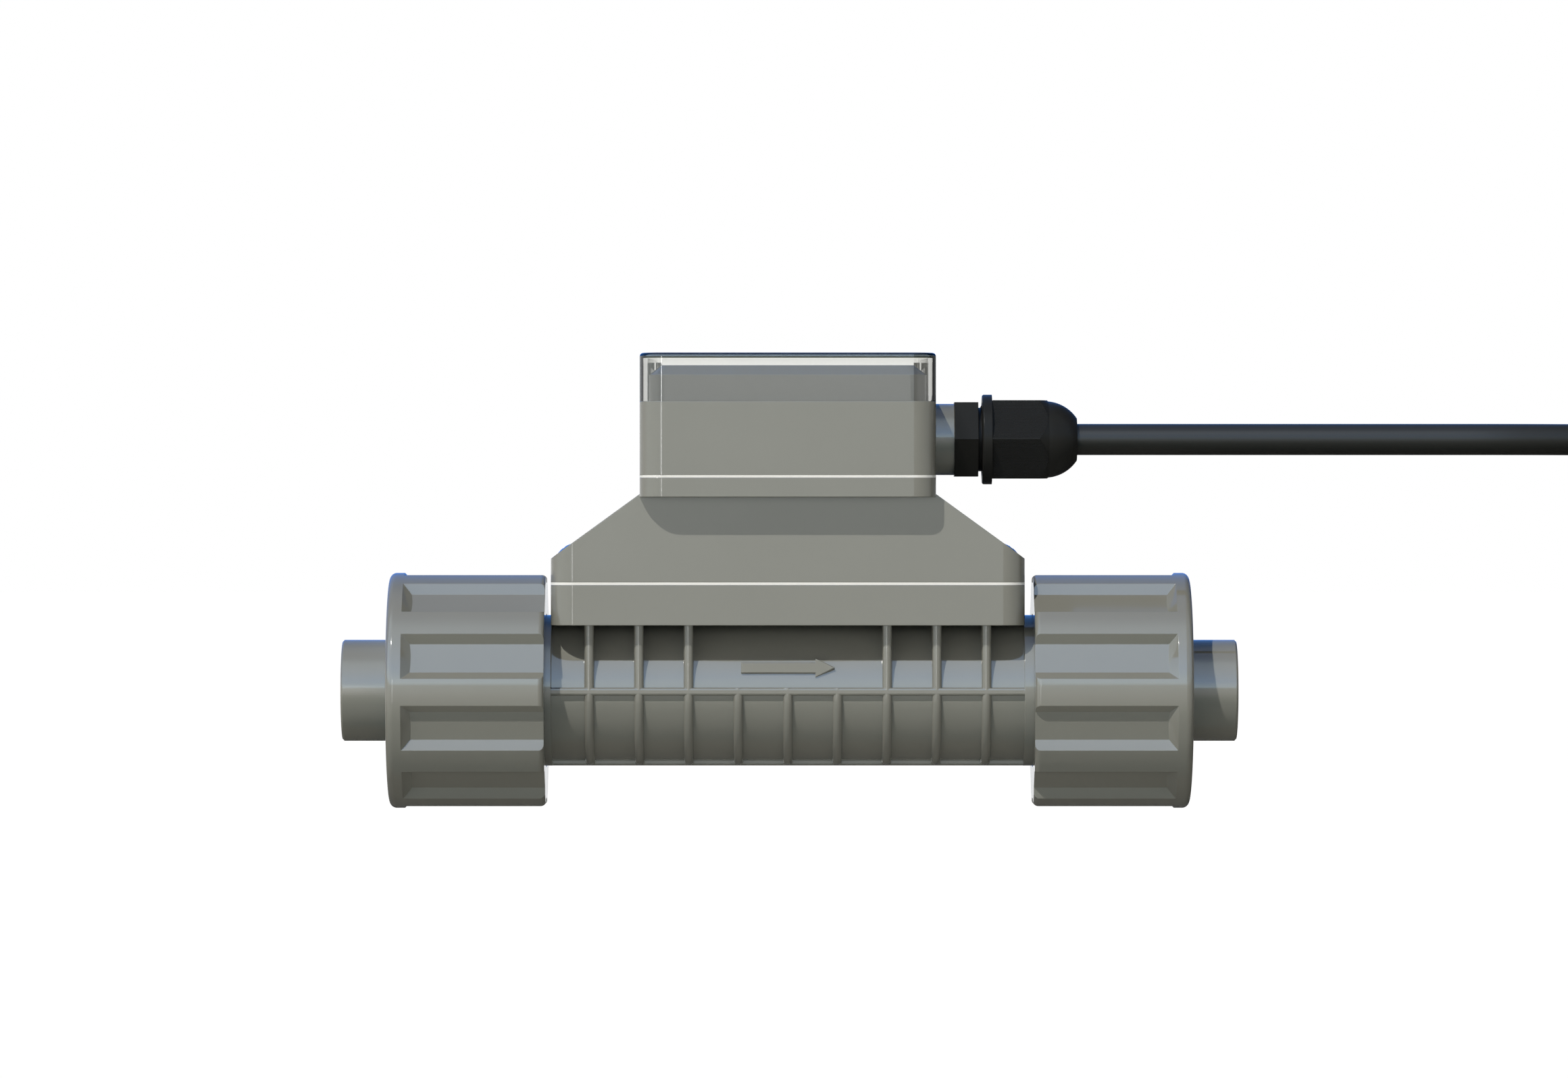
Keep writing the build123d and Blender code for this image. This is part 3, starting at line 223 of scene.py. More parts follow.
def moulded(name, base, roughness, ior, grain, depth, edge, tone=0.008, gloss=0.5):
    """A moulded plastic: an even colour with faint flow marks, a fine mould grain and softened edges."""
    flow_mark = 22 * MM
    noise_span = {"From Min": 0.3, "From Max": 0.7}
    sheen_change = 0.01
    material, tree = new_material(name)
    place = add_node(tree, "ShaderNodeTexCoord").outputs["Object"]
    cloud = add_node(tree, "ShaderNodeTexNoise", {"Vector": place, "Scale": 1 / flow_mark, "Detail": 2.0})
    mottle = add_node(
        tree,
        "ShaderNodeMapRange",
        {"Value": cloud.outputs["Fac"], **noise_span, "To Min": 1 - tone, "To Max": 1 + tone},
    )
    toned = add_node(
        tree,
        "ShaderNodeHueSaturation",
        {"Color": list(base), "Value": mottle.outputs["Result"]},
    )
    pits = add_node(tree, "ShaderNodeTexNoise", {"Vector": place, "Scale": 1 / grain, "Detail": 3.0})
    sheen = add_node(
        tree,
        "ShaderNodeMapRange",
        {
            "Value": cloud.outputs["Fac"],
            **noise_span,
            "To Min": roughness - sheen_change,
            "To Max": roughness + sheen_change,
        },
    )
    soft_edge = add_node(tree, "ShaderNodeBevel", {"Radius": edge}, samples=6)
    relief = add_node(
        tree,
        "ShaderNodeBump",
        {
            "Height": pits.outputs["Fac"],
            "Distance": depth,
            "Strength": 1.0,
            "Normal": soft_edge.outputs["Normal"],
        },
    )
    shader = add_node(
        tree,
        "ShaderNodeBsdfPrincipled",
        {
            "Base Color": toned.outputs["Color"],
            "Roughness": sheen.outputs["Result"],
            "IOR": ior,
            "Specular IOR Level": gloss,
            "Normal": relief.outputs["Normal"],
        },
    )
    show(tree, shader.outputs["BSDF"])
    return material


def clear_moulding(name, tint, roughness, ior, depth_tint=None):
    """A clear moulding that bends what is seen through it and lets light on matt pieces straight in."""
    faint_gloss = 0.15
    tint_depth = 30.0
    material, tree = new_material(name)
    glass = add_node(
        tree,
        "ShaderNodeBsdfPrincipled",
        {
            "Base Color": tint,
            "Roughness": roughness,
            "IOR": ior,
            "Specular IOR Level": faint_gloss,
            "Transmission Weight": 1.0,
        },
    )
    one_face = [sqrt(part) for part in tint]
    open_air = add_node(tree, "ShaderNodeBsdfTransparent", {"Color": one_face})
    ray = add_node(tree, "ShaderNodeLightPath")
    soft = add_node(
        tree,
        "ShaderNodeMath",
        {0: ray.outputs["Is Shadow Ray"], 1: ray.outputs["Is Diffuse Ray"]},
        operation="MAXIMUM",
    )
    either = add_node(
        tree,
        "ShaderNodeMixShader",
        {0: soft.outputs[0], 1: glass.outputs["BSDF"], 2: open_air.outputs["BSDF"]},
    )
    end = add_node(tree, "ShaderNodeOutputMaterial", {"Surface": either.outputs["Shader"]})
    if depth_tint:
        inside = add_node(
            tree, "ShaderNodeVolumeAbsorption", {"Color": depth_tint, "Density": tint_depth}
        )
        tree.links.new(inside.outputs["Volume"], end.inputs["Volume"])
    return material


def polished_steel(name):
    """Polished stainless steel with faint turning marks."""
    turning_mark = 0.4 * MM
    roughness_span = {"To Min": 0.08, "To Max": 0.24}
    material, tree = new_material(name)
    place = add_node(tree, "ShaderNodeTexCoord").outputs["Object"]
    wear = add_node(tree, "ShaderNodeTexNoise", {"Vector": place, "Scale": 1 / turning_mark, "Detail": 2.0})
    polish = add_node(tree, "ShaderNodeMapRange", {"Value": wear.outputs["Fac"], **roughness_span})
    shader = add_node(
        tree,
        "ShaderNodeBsdfPrincipled",
        {"Base Color": linear("#d2d3d4"), "Metallic": 1.0, "Roughness": polish.outputs["Result"]},
    )
    show(tree, shader.outputs["BSDF"])
    return material


def striped_sheath(name, shades, pitch):
    """Core insulation, each core in one of a few shades, told apart by where it lies across the cable."""
    material, tree = new_material(name)
    place = add_node(tree, "ShaderNodeTexCoord").outputs["Object"]
    apart = add_node(tree, "ShaderNodeSeparateXYZ", {"Vector": place})
    across = add_node(
        tree, "ShaderNodeMath", {0: apart.outputs["Y"], 1: apart.outputs["X"]}, operation="ADD"
    )
    turn = add_node(tree, "ShaderNodeMath", {0: across.outputs[0], 1: 1 / pitch}, operation="MULTIPLY")
    part = add_node(tree, "ShaderNodeMath", {0: turn.outputs[0]}, operation="FRACT")
    ramp = add_node(tree, "ShaderNodeValToRGB", {"Fac": part.outputs[0]})
    ramp.color_ramp.interpolation = "CONSTANT"
    for number, shade in enumerate(shades):
        stops = ramp.color_ramp.elements
        stop = stops[number] if number < 2 else stops.new(number / len(shades))
        stop.position = number / len(shades)
        stop.color = linear(shade)
    shader = add_node(
        tree,
        "ShaderNodeBsdfPrincipled",
        {"Base Color": ramp.outputs["Color"], "Roughness": 0.45, "IOR": VINYL_IOR},
    )
    show(tree, shader.outputs["BSDF"])
    return material


def finishes(sizes, colours):
    """Every finish of the object, by the record's slot."""
    edge = sizes.edge_round
    thin_edge = edge / 3
    return {
        # Moulded rigid vinyl has a smooth skin, in which the sky's edge shows as a soft line
        "tube_plastic": moulded(
            "moulded_rigid_vinyl",
            colours.grey,
            roughness=0.08,
            ior=VINYL_IOR,
            grain=0.35 * MM,
            depth=0.002 * MM,
            edge=edge,
        ),
        "union_plastic": moulded(
            "moulded_vinyl_fitting",
            colours.grey,
            roughness=0.08,
            ior=VINYL_IOR,
            grain=0.35 * MM,
            depth=0.002 * MM,
            edge=edge,
        ),
        # Spark-eroded mould faces leave a fine even satin on the housings
        "housing_plastic": moulded(
            "satin_moulded_abs",
            colours.grey,
            roughness=0.12,
            ior=ABS_IOR,
            grain=0.3 * MM,
            depth=0.002 * MM,
            edge=edge,
        ),
        # The display block's mould is polished, so its bevel shows the sky
        "block_plastic": moulded(
            "gloss_moulded_abs",
            colours.block_grey,
            roughness=0.1,
            ior=ABS_IOR,
            grain=0.3 * MM,
            depth=0.001 * MM,
            edge=edge,
            gloss=0.8,
        ),
        # Silicone sheet is chalky and evenly white
        "white_seal": moulded(
            "white_silicone_sheet",
            colours.seal_white,
            roughness=0.6,
            ior=SILICONE_IOR,
            grain=0.4 * MM,
            depth=0.004 * MM,
            edge=thin_edge,
        ),
        # Glass-filled nylon is near black with a dull gloss
        "gland_nylon": moulded(
            "black_glass_filled_nylon",
            colours.black,
            roughness=0.3,
            ior=NYLON_IOR,
            grain=0.3 * MM,
            depth=0.004 * MM,
            edge=edge,
            gloss=0.06,
        ),
        # Unfilled nylon of the ties shines a little more
        "tie_nylon": moulded(
            "black_tie_nylon",
            colours.black,
            roughness=0.34,
            ior=NYLON_IOR,
            grain=0.3 * MM,
            depth=0.003 * MM,
            edge=edge,
            gloss=0.2,
        ),
        # Extruded sheath is smooth and waxy
        "cable_sheath": moulded(
            "extruded_black_sheath",
            colours.sheath,
            roughness=0.36,
            ior=RUBBER_IOR,
            grain=0.6 * MM,
            depth=0.005 * MM,
            edge=edge,
            gloss=0.26,
        ),
        # Moulded rubber is dark and dull
        "seal_rubber": moulded(
            "black_seal_rubber",
            linear("#151515"),
            roughness=0.5,
            ior=RUBBER_IOR,
            grain=0.3 * MM,
            depth=0.004 * MM,
            edge=edge,
        ),
        # Key caps are a soft matt grey
        "key_plastic": moulded(
            "grey_key_caps",
            colours.key_grey,
            roughness=0.4,
            ior=1.5,
            grain=0.25 * MM,
            depth=0.004 * MM,
            edge=edge,
        ),
        # Filled resin is dark and dull
        "transducer_shell": moulded(
            "dark_filled_resin",
            linear("#2d2d30"),
            roughness=0.4,
            ior=1.55,
            grain=0.3 * MM,
            depth=0.004 * MM,
            edge=edge,
        ),
        # Terminal nylon is an even bright green
        "terminal_plastic": moulded(
            "green_terminal_nylon",
            linear("#2f7d4c"),
            roughness=0.4,
            ior=NYLON_IOR,
            grain=0.3 * MM,
            depth=0.004 * MM,
            edge=edge,
        ),
        # Solder resist is a thin glossy green lacquer
        "circuit_board": moulded(
            "solder_resist",
            colours.board_green,
            roughness=0.3,
            ior=1.55,
            grain=0.5 * MM,
            depth=0.004 * MM,
            edge=thin_edge,
        ),
        # Display glass is smooth, with a faint cloudiness
        "display": moulded(
            "display_glass",
            colours.glass_grey,
            roughness=0.12,
            ior=1.52,
            grain=0.5 * MM,
            depth=0.0005 * MM,
            edge=thin_edge,
            tone=0.01,
        ),
        # Clear polycarbonate shows its thickness as dark and bright lines at the edges
        "clear_plastic": clear_moulding(
            "clear_polycarbonate",
            tint=(0.93, 0.925, 0.91, 1),
            roughness=0.0,
            ior=POLYCARBONATE_IOR,
            depth_tint=(0.12, 0.16, 0.0, 1),
        ),
        # The window is acrylic with a cool tint
        "window": clear_moulding(
            "tinted_window", tint=(0.82, 0.86, 0.88, 1), roughness=0.0, ior=ACRYLIC_IOR
        ),
        # Raised heads of polished stainless steel
        "stainless": polished_steel("polished_stainless"),
        # Tinned sleeves shine like the steel
        "ferrule_metal": polished_steel("tinned_copper_sleeve"),
        # Each core has a shade of its own
        "core_sheath": striped_sheath(
            "core_insulation", ("#6b3f22", "#e8e6df", "#2b4f9e", "#1d1d1d"), 8 * MM
        ),
    }


def meter_finish(slot_name):
    """The finish made for a slot."""
    return bpy.data.materials[bpy.context.scene["meter_finishes"][slot_name]]


def piece_from(bm, name, body, slot_name, smooth=True):
    """Ends a bmesh as a piece that rides on a body and wears a slot's finish."""
    weld_distance = 0.001 * MM
    sharp_angle = radians(35)
    bmesh.ops.remove_doubles(bm, verts=bm.verts, dist=weld_distance)
    bmesh.ops.recalc_face_normals(bm, faces=bm.faces)
    mesh = bpy.data.meshes.new(name)
    bm.to_mesh(mesh)
    bm.free()
    piece = bpy.data.objects.new(name, mesh)
    bpy.context.scene.collection.objects.link(piece)
    mesh.materials.append(meter_finish(slot_name))
    if smooth:
        mesh.shade_smooth()
        mesh.set_sharp_from_angle(angle=sharp_angle)
    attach(piece, body)
    return piece


def helix_ridge(bm, origin, along, root, crest, pitch, start, run, steps=48):
    """Adds a thread's ridge round an axis: a small trapezoid turned and drawn along."""
    turns = run / pitch
    side = along.orthogonal().normalized()
    half_foot = pitch * 0.44
    half_crest = pitch * 0.1
    foot = root - 0.1 * MM
    section = (
        (start - half_foot, foot),
        (start + half_foot, foot),
        (start + half_crest, crest),
        (start - half_crest, crest),
    )
    corners = [bm.verts.new(origin + along * far + side * out) for far, out in section]
    face = bm.faces.new(corners)
    bmesh.ops.spin(
        bm,
        geom=[face, *face.edges, *face.verts],
        cent=origin,
        axis=along,
        dvec=along * pitch / steps,
        angle=turns * tau,
        steps=round(turns * steps),
    )


class FLOWMETER_OT_finishes(bpy.types.Operator):
    """Gives every solid its finish"""

    bl_idname = "flowmeter.finishes"
    bl_label = "Finishes"

    def execute(self, context):
        made = finishes(context.scene.meter_sizes, context.scene.meter_colours)
        context.scene["meter_finishes"] = {slot: material.name for slot, material in made.items()}
        for subpart in frame["record"]["subparts"]:
            solid = frame["nodes"][subpart["node"]]
            solid.data.materials.clear()
            solid.data.materials.append(made[subpart["material_slot"]])
        return {"FINISHED"}


class FLOWMETER_OT_union_threads(bpy.types.Operator):
    """Cuts the union thread's ridge on both necks"""

    bl_idname = "flowmeter.union_threads"
    bl_label = "Union Threads"

    def execute(self, context):
        sizes = context.scene.meter_sizes
        run = 9.2 * MM
        first_turn = 1.1 * MM
        steps = 64
        pitch = sizes.neck_thread_pitch
        root = sizes.neck_thread_radius - sizes.neck_thread_depth
        ends = {"inlet_neck_thread": (tube_low.x, 1), "outlet_neck_thread": (tube_high.x, -1)}
        for name, (face, inward) in ends.items():
            bm = bmesh.new()
            along = Vector((inward, 0, 0))
            origin = Vector((face, 0, 0))
            crest = sizes.neck_thread_radius
            helix_ridge(bm, origin, along, root, crest, pitch, first_turn, run, steps)
            piece_from(bm, name, "meter", "tube_plastic")
        return {"FINISHED"}


class FLOWMETER_OT_gland_thread(bpy.types.Operator):
    """Cuts the cap nut's thread on the gland body"""

    bl_idname = "flowmeter.gland_thread"
    bl_label = "Gland Thread"

    def execute(self, context):
        sizes = context.scene.meter_sizes
        bm = bmesh.new()
        origin = Vector((gland_end, 0, gland_height))
        root = sizes.gland_thread_radius - sizes.gland_thread_depth
        crest = sizes.gland_thread_radius
        run = 11.4 * MM
        first_turn = 0.7 * MM
        inward = Vector((-1, 0, 0))
        helix_ridge(bm, origin, inward, root, crest, sizes.gland_thread_pitch, first_turn, run)
        piece_from(bm, "gland_thread", "meter", "gland_nylon")
        return {"FINISHED"}


class FLOWMETER_OT_cap_nut_grip(bpy.types.Operator):
    """Lays fine grip lines along the flats of the cap nut"""

    bl_idname = "flowmeter.cap_nut_grip"
    bl_label = "Cap Nut Grip"

    def execute(self, context):
        sizes = context.scene.meter_sizes
        flat_radius = 10.95 * MM
        flat_half = flat_radius / sqrt(3)
        dome_radius = 10.8 * MM
        slope = 2.7 * MM
        collar_width = 3.0 * MM
        flats_end = 18.7 * MM
        edge_margin = 0.3 * MM
        line_width = sizes.grip_pitch * 0.5
        line_height = 0.12 * MM
        corner = 2 * flat_half - dome_radius
        start = cap_low.x + collar_width
        end = cap_low.x + flats_end
        count = int(2 * (flat_half - edge_margin) / sizes.grip_pitch)
        bm = bmesh.new()
        for flat in range(6):
            turned = Matrix.Rotation(flat * pi / 3, 4, "X")
            for line in range(count + 1):
                aside = (line - count / 2) * sizes.grip_pitch
                turned_down = hypot(flat_radius, aside) - dome_radius
                line_end = end - slope * max(turned_down, 0) / corner
                middle = Vector(((start + line_end) / 2, 0, gland_height))
                shift = Matrix.Translation((0, aside, flat_radius))
                size = Matrix.Diagonal((line_end - start, line_width, line_height, 1))
                place = Matrix.Translation(middle) @ turned @ shift @ size
                bmesh.ops.create_cube(bm, size=1, matrix=place)
        piece_from(bm, "cap_nut_grip", "cap_nut", "gland_nylon", smooth=False)
        return {"FINISHED"}


class FLOWMETER_OT_display_digits(bpy.types.Operator):
    """Lays plain seven-segment digits on the display glass"""

    bl_idname = "flowmeter.display_digits"
    bl_label = "Display Digits"

    def execute(self, context):
        low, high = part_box("lcd_module")
        lit_bars = {"0": "abcdef", "1": "bc", "2": "abged", "5": "afgcd"}
        reach = 7.0 * MM
        width = 1.0 * MM
        digit_pitch = 11 * MM
        ink = 0.02 * MM
        long_side = reach - 1.3 * width
        bars = {
            "a": (0, reach, 0),
            "b": (reach / 2, reach / 2, 1),
            "c": (reach / 2, -reach / 2, 1),
            "d": (0, -reach, 0),
            "e": (-reach / 2, -reach / 2, 1),
            "f": (-reach / 2, reach / 2, 1),
            "g": (0, 0, 0),
        }
        middle = Vector(((low.x + high.x) / 2, (low.y + high.y) / 2, high.z + ink))
        bm = bmesh.new()
        for place, digit in enumerate("1250"):
            centre = middle + Vector(((place - 1.5) * digit_pitch, 0, 0))
            for bar in lit_bars[digit]:
                across, up, upright = bars[bar]
                size = (width, long_side) if upright else (long_side, width)
                shift = Matrix.Translation(centre + Vector((across, up, 0)))
                bmesh.ops.create_cube(bm, size=1, matrix=shift @ Matrix.Diagonal((*size, ink, 1)))
        dot = Matrix.Translation(middle + Vector((digit_pitch / 2, -reach, 0)))
        bmesh.ops.create_cube(bm, size=1, matrix=dot @ Matrix.Diagonal((width, width, ink, 1)))
        piece_from(bm, "display_digits", "meter", "seal_rubber", smooth=False)
        return {"FINISHED"}


class FLOWMETER_OT_key_marks(bpy.types.Operator):
    """Prints a left arrow, a right arrow and a ring on the keys"""

    bl_idname = "flowmeter.key_marks"
    bl_label = "Key Marks"

    def execute(self, context):
        arrow_radius = 2.2 * MM
        ring_radius = 2.0 * MM
        ring_hole = 0.7
        ink = 0.04 * MM
        for key, body, turned in (("left_key", "left_button", 0), ("middle_key", "middle_button", pi)):
            bm = bmesh.new()
            place = self.top(key) @ Matrix.Rotation(turned + pi / 2, 4, "Z")
            bmesh.ops.create_cone(
                bm,
                cap_ends=True,
                segments=3,
                radius1=arrow_radius,
                radius2=arrow_radius,
                depth=ink,
                matrix=place,
            )
            piece_from(bm, f"{key}_mark", body, "white_seal", smooth=False)
        bm = bmesh.new()
        place = self.top("right_key")
        outline = bmesh.ops.create_circle(bm, segments=48, radius=ring_radius, matrix=place)["verts"]
        edges = list({edge for vert in outline for edge in vert.link_edges})
        grown = bmesh.ops.extrude_edge_only(bm, edges=edges)["geom"]
        inner = [item for item in grown if isinstance(item, bmesh.types.BMVert)]
        bmesh.ops.scale(bm, vec=(ring_hole, ring_hole, 1), verts=inner, space=place.inverted())
        bmesh.ops.solidify(bm, geom=bm.faces[:], thickness=ink)
        piece_from(bm, "right_key_mark", "right_button", "white_seal", smooth=False)
        return {"FINISHED"}

    def top(self, key):
        """A place just above the middle of a key's top."""
        low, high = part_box(key)
        above = 0.01 * MM
        return Matrix.Translation(((low.x + high.x) / 2, (low.y + high.y) / 2, high.z + above))


class FLOWMETER_OT_cable(bpy.types.Operator):
    """Draws the cable: straight out of the gland, then wound in a tied coil with a short stripped tail"""

    bl_idname = "flowmeter.cable"
    bl_label = "Cable"

    def execute(self, context):
        sizes = context.scene.meter_sizes
        radius = sizes.cable_diameter / 2
        coil_x = (coil_low.x + coil_high.x) / 2
        coil_z = gland_height - sizes.coil_radius
        exit_x = cap_high.x
        hidden_start = 22 * MM
        straight_start = 30 * MM
        before_slant = 38 * MM
        tail_lead = 36 * MM
        per_turn = 16
        count = round(sizes.coil_turns * per_turn)
        step = tau / per_turn
        outer = sizes.coil_radius / cos(step / 2)
        half_step = sizes.coil_radius * tan(step / 2)
        front = sizes.coil_set_back
        depth = sizes.coil_pitch * sizes.coil_turns
        slant_x = body_centre + sizes.slant_start
        straight_x = body_centre + sizes.slant_end
        route = [
            (exit_x - hidden_start, 0, gland_height),
            (exit_x + straight_start, 0, gland_height),
            (slant_x - before_slant, 0, gland_height),
            (slant_x, 0, gland_height),
            (straight_x, front, gland_height),
            (coil_x - half_step, front, gland_height),
        ]
        for number in range(count):
            angle = pi / 2 - (number + 0.5) * step
            across = front + depth * (number + 0.5) / count
            route.append((coil_x + outer * cos(angle), across, coil_z + outer * sin(angle)))
        tail_x = coil_x + sizes.coil_radius
        back = front + depth
        route.append((tail_x, back, coil_z - half_step))
        route.append((tail_x, back, coil_z - tail_lead))
        route.append((tail_x, back, tail_end))
        data = bpy.data.curves.new("meter_cable", "CURVE")
        data.dimensions = "3D"
        data.bevel_depth = radius
        data.bevel_resolution = 6
        data.resolution_u = 6
        data.use_fill_caps = True
        spline = data.splines.new("NURBS")
        spline.points.add(len(route) - 1)
        for point, place in zip(spline.points, route):
            point.co = (*place, 1)
        spline.order_u = 3
        spline.use_endpoint_u = True
        cable = bpy.data.objects.new("meter_cable", data)
        context.scene.collection.objects.link(cable)
        data.materials.append(meter_finish("cable_sheath"))
        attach(cable, "meter")
        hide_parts("cable", "cable_coil", "cable_tail")
        return {"FINISHED"}


class FLOWMETER_OT_stage(bpy.types.Operator):
    """Sets the pale floor, the white surround, the lights and the camera"""

    bl_idname = "flowmeter.stage"
    bl_label = "Stage"

    def execute(self, context):
        scene = context.scene
        scene.view_settings.view_transform = "Standard"
        self.add_floor(scene)
        self.add_surround(scene)
        self.add_lights(scene)
        self.add_camera(scene)
        return {"FINISHED"}

    def add_floor(self, scene):
        """A pale floor below the held object, mostly white to whoever looks at it, with the shadow kept, and
        painted shade under the object for bounced light.
        """
        floor_level = -0.16
        floor_reach = 30
        white_share = 0.8
        white_strength = 1.14
        material, tree = new_material("pale_floor")
        ray = add_node(tree, "ShaderNodeLightPath")
        seen = add_node(
            tree,
            "ShaderNodeMath",
            {0: ray.outputs["Is Camera Ray"], 1: ray.outputs["Is Transmission Ray"]},
            operation="MAXIMUM",
        )
        share = add_node(tree, "ShaderNodeMath", {0: seen.outputs[0], 1: white_share}, operation="MULTIPLY")
        # Painted shade: for bounced light the floor's colour is darker near the pipe's axis, under the
        # object, and full further out.
        place = add_node(tree, "ShaderNodeNewGeometry").outputs["Position"]
        apart = add_node(tree, "ShaderNodeSeparateXYZ", {"Vector": place})
        away = add_node(tree, "ShaderNodeMath", {0: apart.outputs["Y"]}, operation="ABSOLUTE")
        painted_under_shade = add_node(tree, "ShaderNodeMapRange", {"Value": away.outputs[0], **UNDER_OBJECT_SHADE_FADE})
        bounce_with_painted_shade = add_node(
            tree,
            "ShaderNodeMix",
            {0: painted_under_shade.outputs["Result"], 6: (0, 0, 0, 1), 7: BOUNCE_COLOUR},
            data_type="RGBA",
        )
        tint = add_node(
            tree,
            "ShaderNodeMix",
            {0: ray.outputs["Is Diffuse Ray"], 6: scene.meter_colours.floor, 7: bounce_with_painted_shade.outputs[2]},
            data_type="RGBA",
        )
        matt = add_node(tree, "ShaderNodeBsdfDiffuse", {"Color": tint.outputs[2]})
        glow = add_node(tree, "ShaderNodeEmission", {"Color": (1, 1, 1, 1), "Strength": white_strength})
        mixed = add_node(
            tree,
            "ShaderNodeMixShader",
            {0: share.outputs[0], 1: matt.outputs["BSDF"], 2: glow.outputs["Emission"]},
        )
        show(tree, mixed.outputs["Shader"])
        bm = bmesh.new()
        middle = Matrix.Translation((body_centre, 0, floor_level))
        bmesh.ops.create_grid(bm, x_segments=1, y_segments=1, size=floor_reach, matrix=middle)
        mesh = bpy.data.meshes.new("studio_floor")
        bm.to_mesh(mesh)
        bm.free()
        mesh.materials.append(material)
        floor = bpy.data.objects.new("studio_floor", mesh)
        floor.visible_glossy = False
        scene.collection.objects.link(floor)

    def sky(self, tree, height, name, stops, strength):
        """A background whose colour runs with height, from (height, colour) stops."""
        ramp = add_node(tree, "ShaderNodeValToRGB", {"Fac": height}, label=name)
        elements = ramp.color_ramp.elements
        for number, (level, shade) in enumerate(stops):
            stop = elements[number] if number < 2 else elements.new((level + 1) / 2)
            stop.position = (level + 1) / 2
            stop.color = (*shade, 1)
        return add_node(tree, "ShaderNodeBackground", {"Color": ramp.outputs["Color"], "Strength": strength})

    def add_surround(self, scene):
        """A world that is white to the camera, with a sky for matt light and two skies for gloss."""
        world = bpy.data.worlds.new("white_surround")
        world.use_nodes = True
        tree = world.node_tree
        tree.nodes.clear()
        scene.world = world
        place = add_node(tree, "ShaderNodeTexCoord").outputs["Generated"]
        apart = add_node(tree, "ShaderNodeSeparateXYZ", {"Vector": place})
        half = add_node(
            tree, "ShaderNodeMapRange", {"Value": apart.outputs["Z"], "From Min": -1.0, "From Max": 1.0}
        )
        height = half.outputs["Result"]
        rightward = apart.outputs["X"]
        fill = add_node(tree, "ShaderNodeMapRange", {"Value": rightward, **MATT_FADE})
        horizon = add_node(tree, "ShaderNodeMapRange", {"Value": rightward, **FRONT_FADE})
        lee = add_node(tree, "ShaderNodeMapRange", {"Value": rightward, **BACK_FADE})
        lighting = self.sky(tree, height, "light on matt surfaces", MATT_SKY, fill.outputs["Result"])
        ahead = self.sky(tree, height, "gloss in front", FRONT_SKY, horizon.outputs["Result"])
        beyond = self.sky(tree, height, "gloss behind", BACK_SKY, lee.outputs["Result"])
        depth = add_node(tree, "ShaderNodeMapRange", {"Value": apart.outputs["Y"], **FRONT_TO_BACK})
        mirrored = add_node(
            tree,
            "ShaderNodeMixShader",
            {0: depth.outputs["Result"], 1: ahead.outputs["Background"], 2: beyond.outputs["Background"]},
        )
        ray = add_node(tree, "ShaderNodeLightPath")
        gloss = add_node(
            tree,
            "ShaderNodeMixShader",
            {
                0: ray.outputs["Is Glossy Ray"],
                1: lighting.outputs["Background"],
                2: mirrored.outputs["Shader"],
            },
        )
        aside = add_node(tree, "ShaderNodeMath", {0: rightward}, operation="ABSOLUTE")
        card = add_node(tree, "ShaderNodeMapRange", {"Value": aside.outputs[0], **CARD_FADE})
        wings = add_node(tree, "ShaderNodeMapRange", {"Value": aside.outputs[0], **WINGS_FADE})
        wide = add_node(
            tree,
            "ShaderNodeMath",
            {0: card.outputs["Result"], 1: wings.outputs["Result"]},
            operation="MAXIMUM",
        )
        rise = add_node(tree, "ShaderNodeMath", {0: apart.outputs["Z"]}, operation="ABSOLUTE")
        low = add_node(tree, "ShaderNodeMapRange", {"Value": rise.outputs[0], **LOW_FADE})
        screen = add_node(
            tree,
            "ShaderNodeMath",
            {0: wide.outputs[0], 1: low.outputs["Result"]},
            operation="MULTIPLY",
        )
        white = add_node(tree, "ShaderNodeBackground", {"Color": (1, 1, 1, 1), "Strength": 1.0})
        dark = add_node(tree, "ShaderNodeBackground", {"Color": FLAG_COLOUR, "Strength": 1.0})
        above = add_node(tree, "ShaderNodeMapRange", {"Value": apart.outputs["Z"], **FLAGS_TO_SKY})
        flags = add_node(
            tree,
            "ShaderNodeMixShader",
            {0: above.outputs["Result"], 1: dark.outputs["Background"], 2: mirrored.outputs["Shader"]},
        )
        behind_clear = add_node(
            tree,
            "ShaderNodeMixShader",
            {0: screen.outputs[0], 1: flags.outputs["Shader"], 2: white.outputs["Background"]},
        )
        bent = add_node(
            tree,
            "ShaderNodeMixShader",
            {
                0: ray.outputs["Is Transmission Ray"],
                1: gloss.outputs["Shader"],
                2: behind_clear.outputs["Shader"],
            },
        )
        mixed = add_node(
            tree,
            "ShaderNodeMixShader",
            {0: ray.outputs["Is Camera Ray"], 1: bent.outputs["Shader"], 2: white.outputs["Background"]},
        )
        add_node(tree, "ShaderNodeOutputWorld", {"Surface": mixed.outputs["Shader"]})

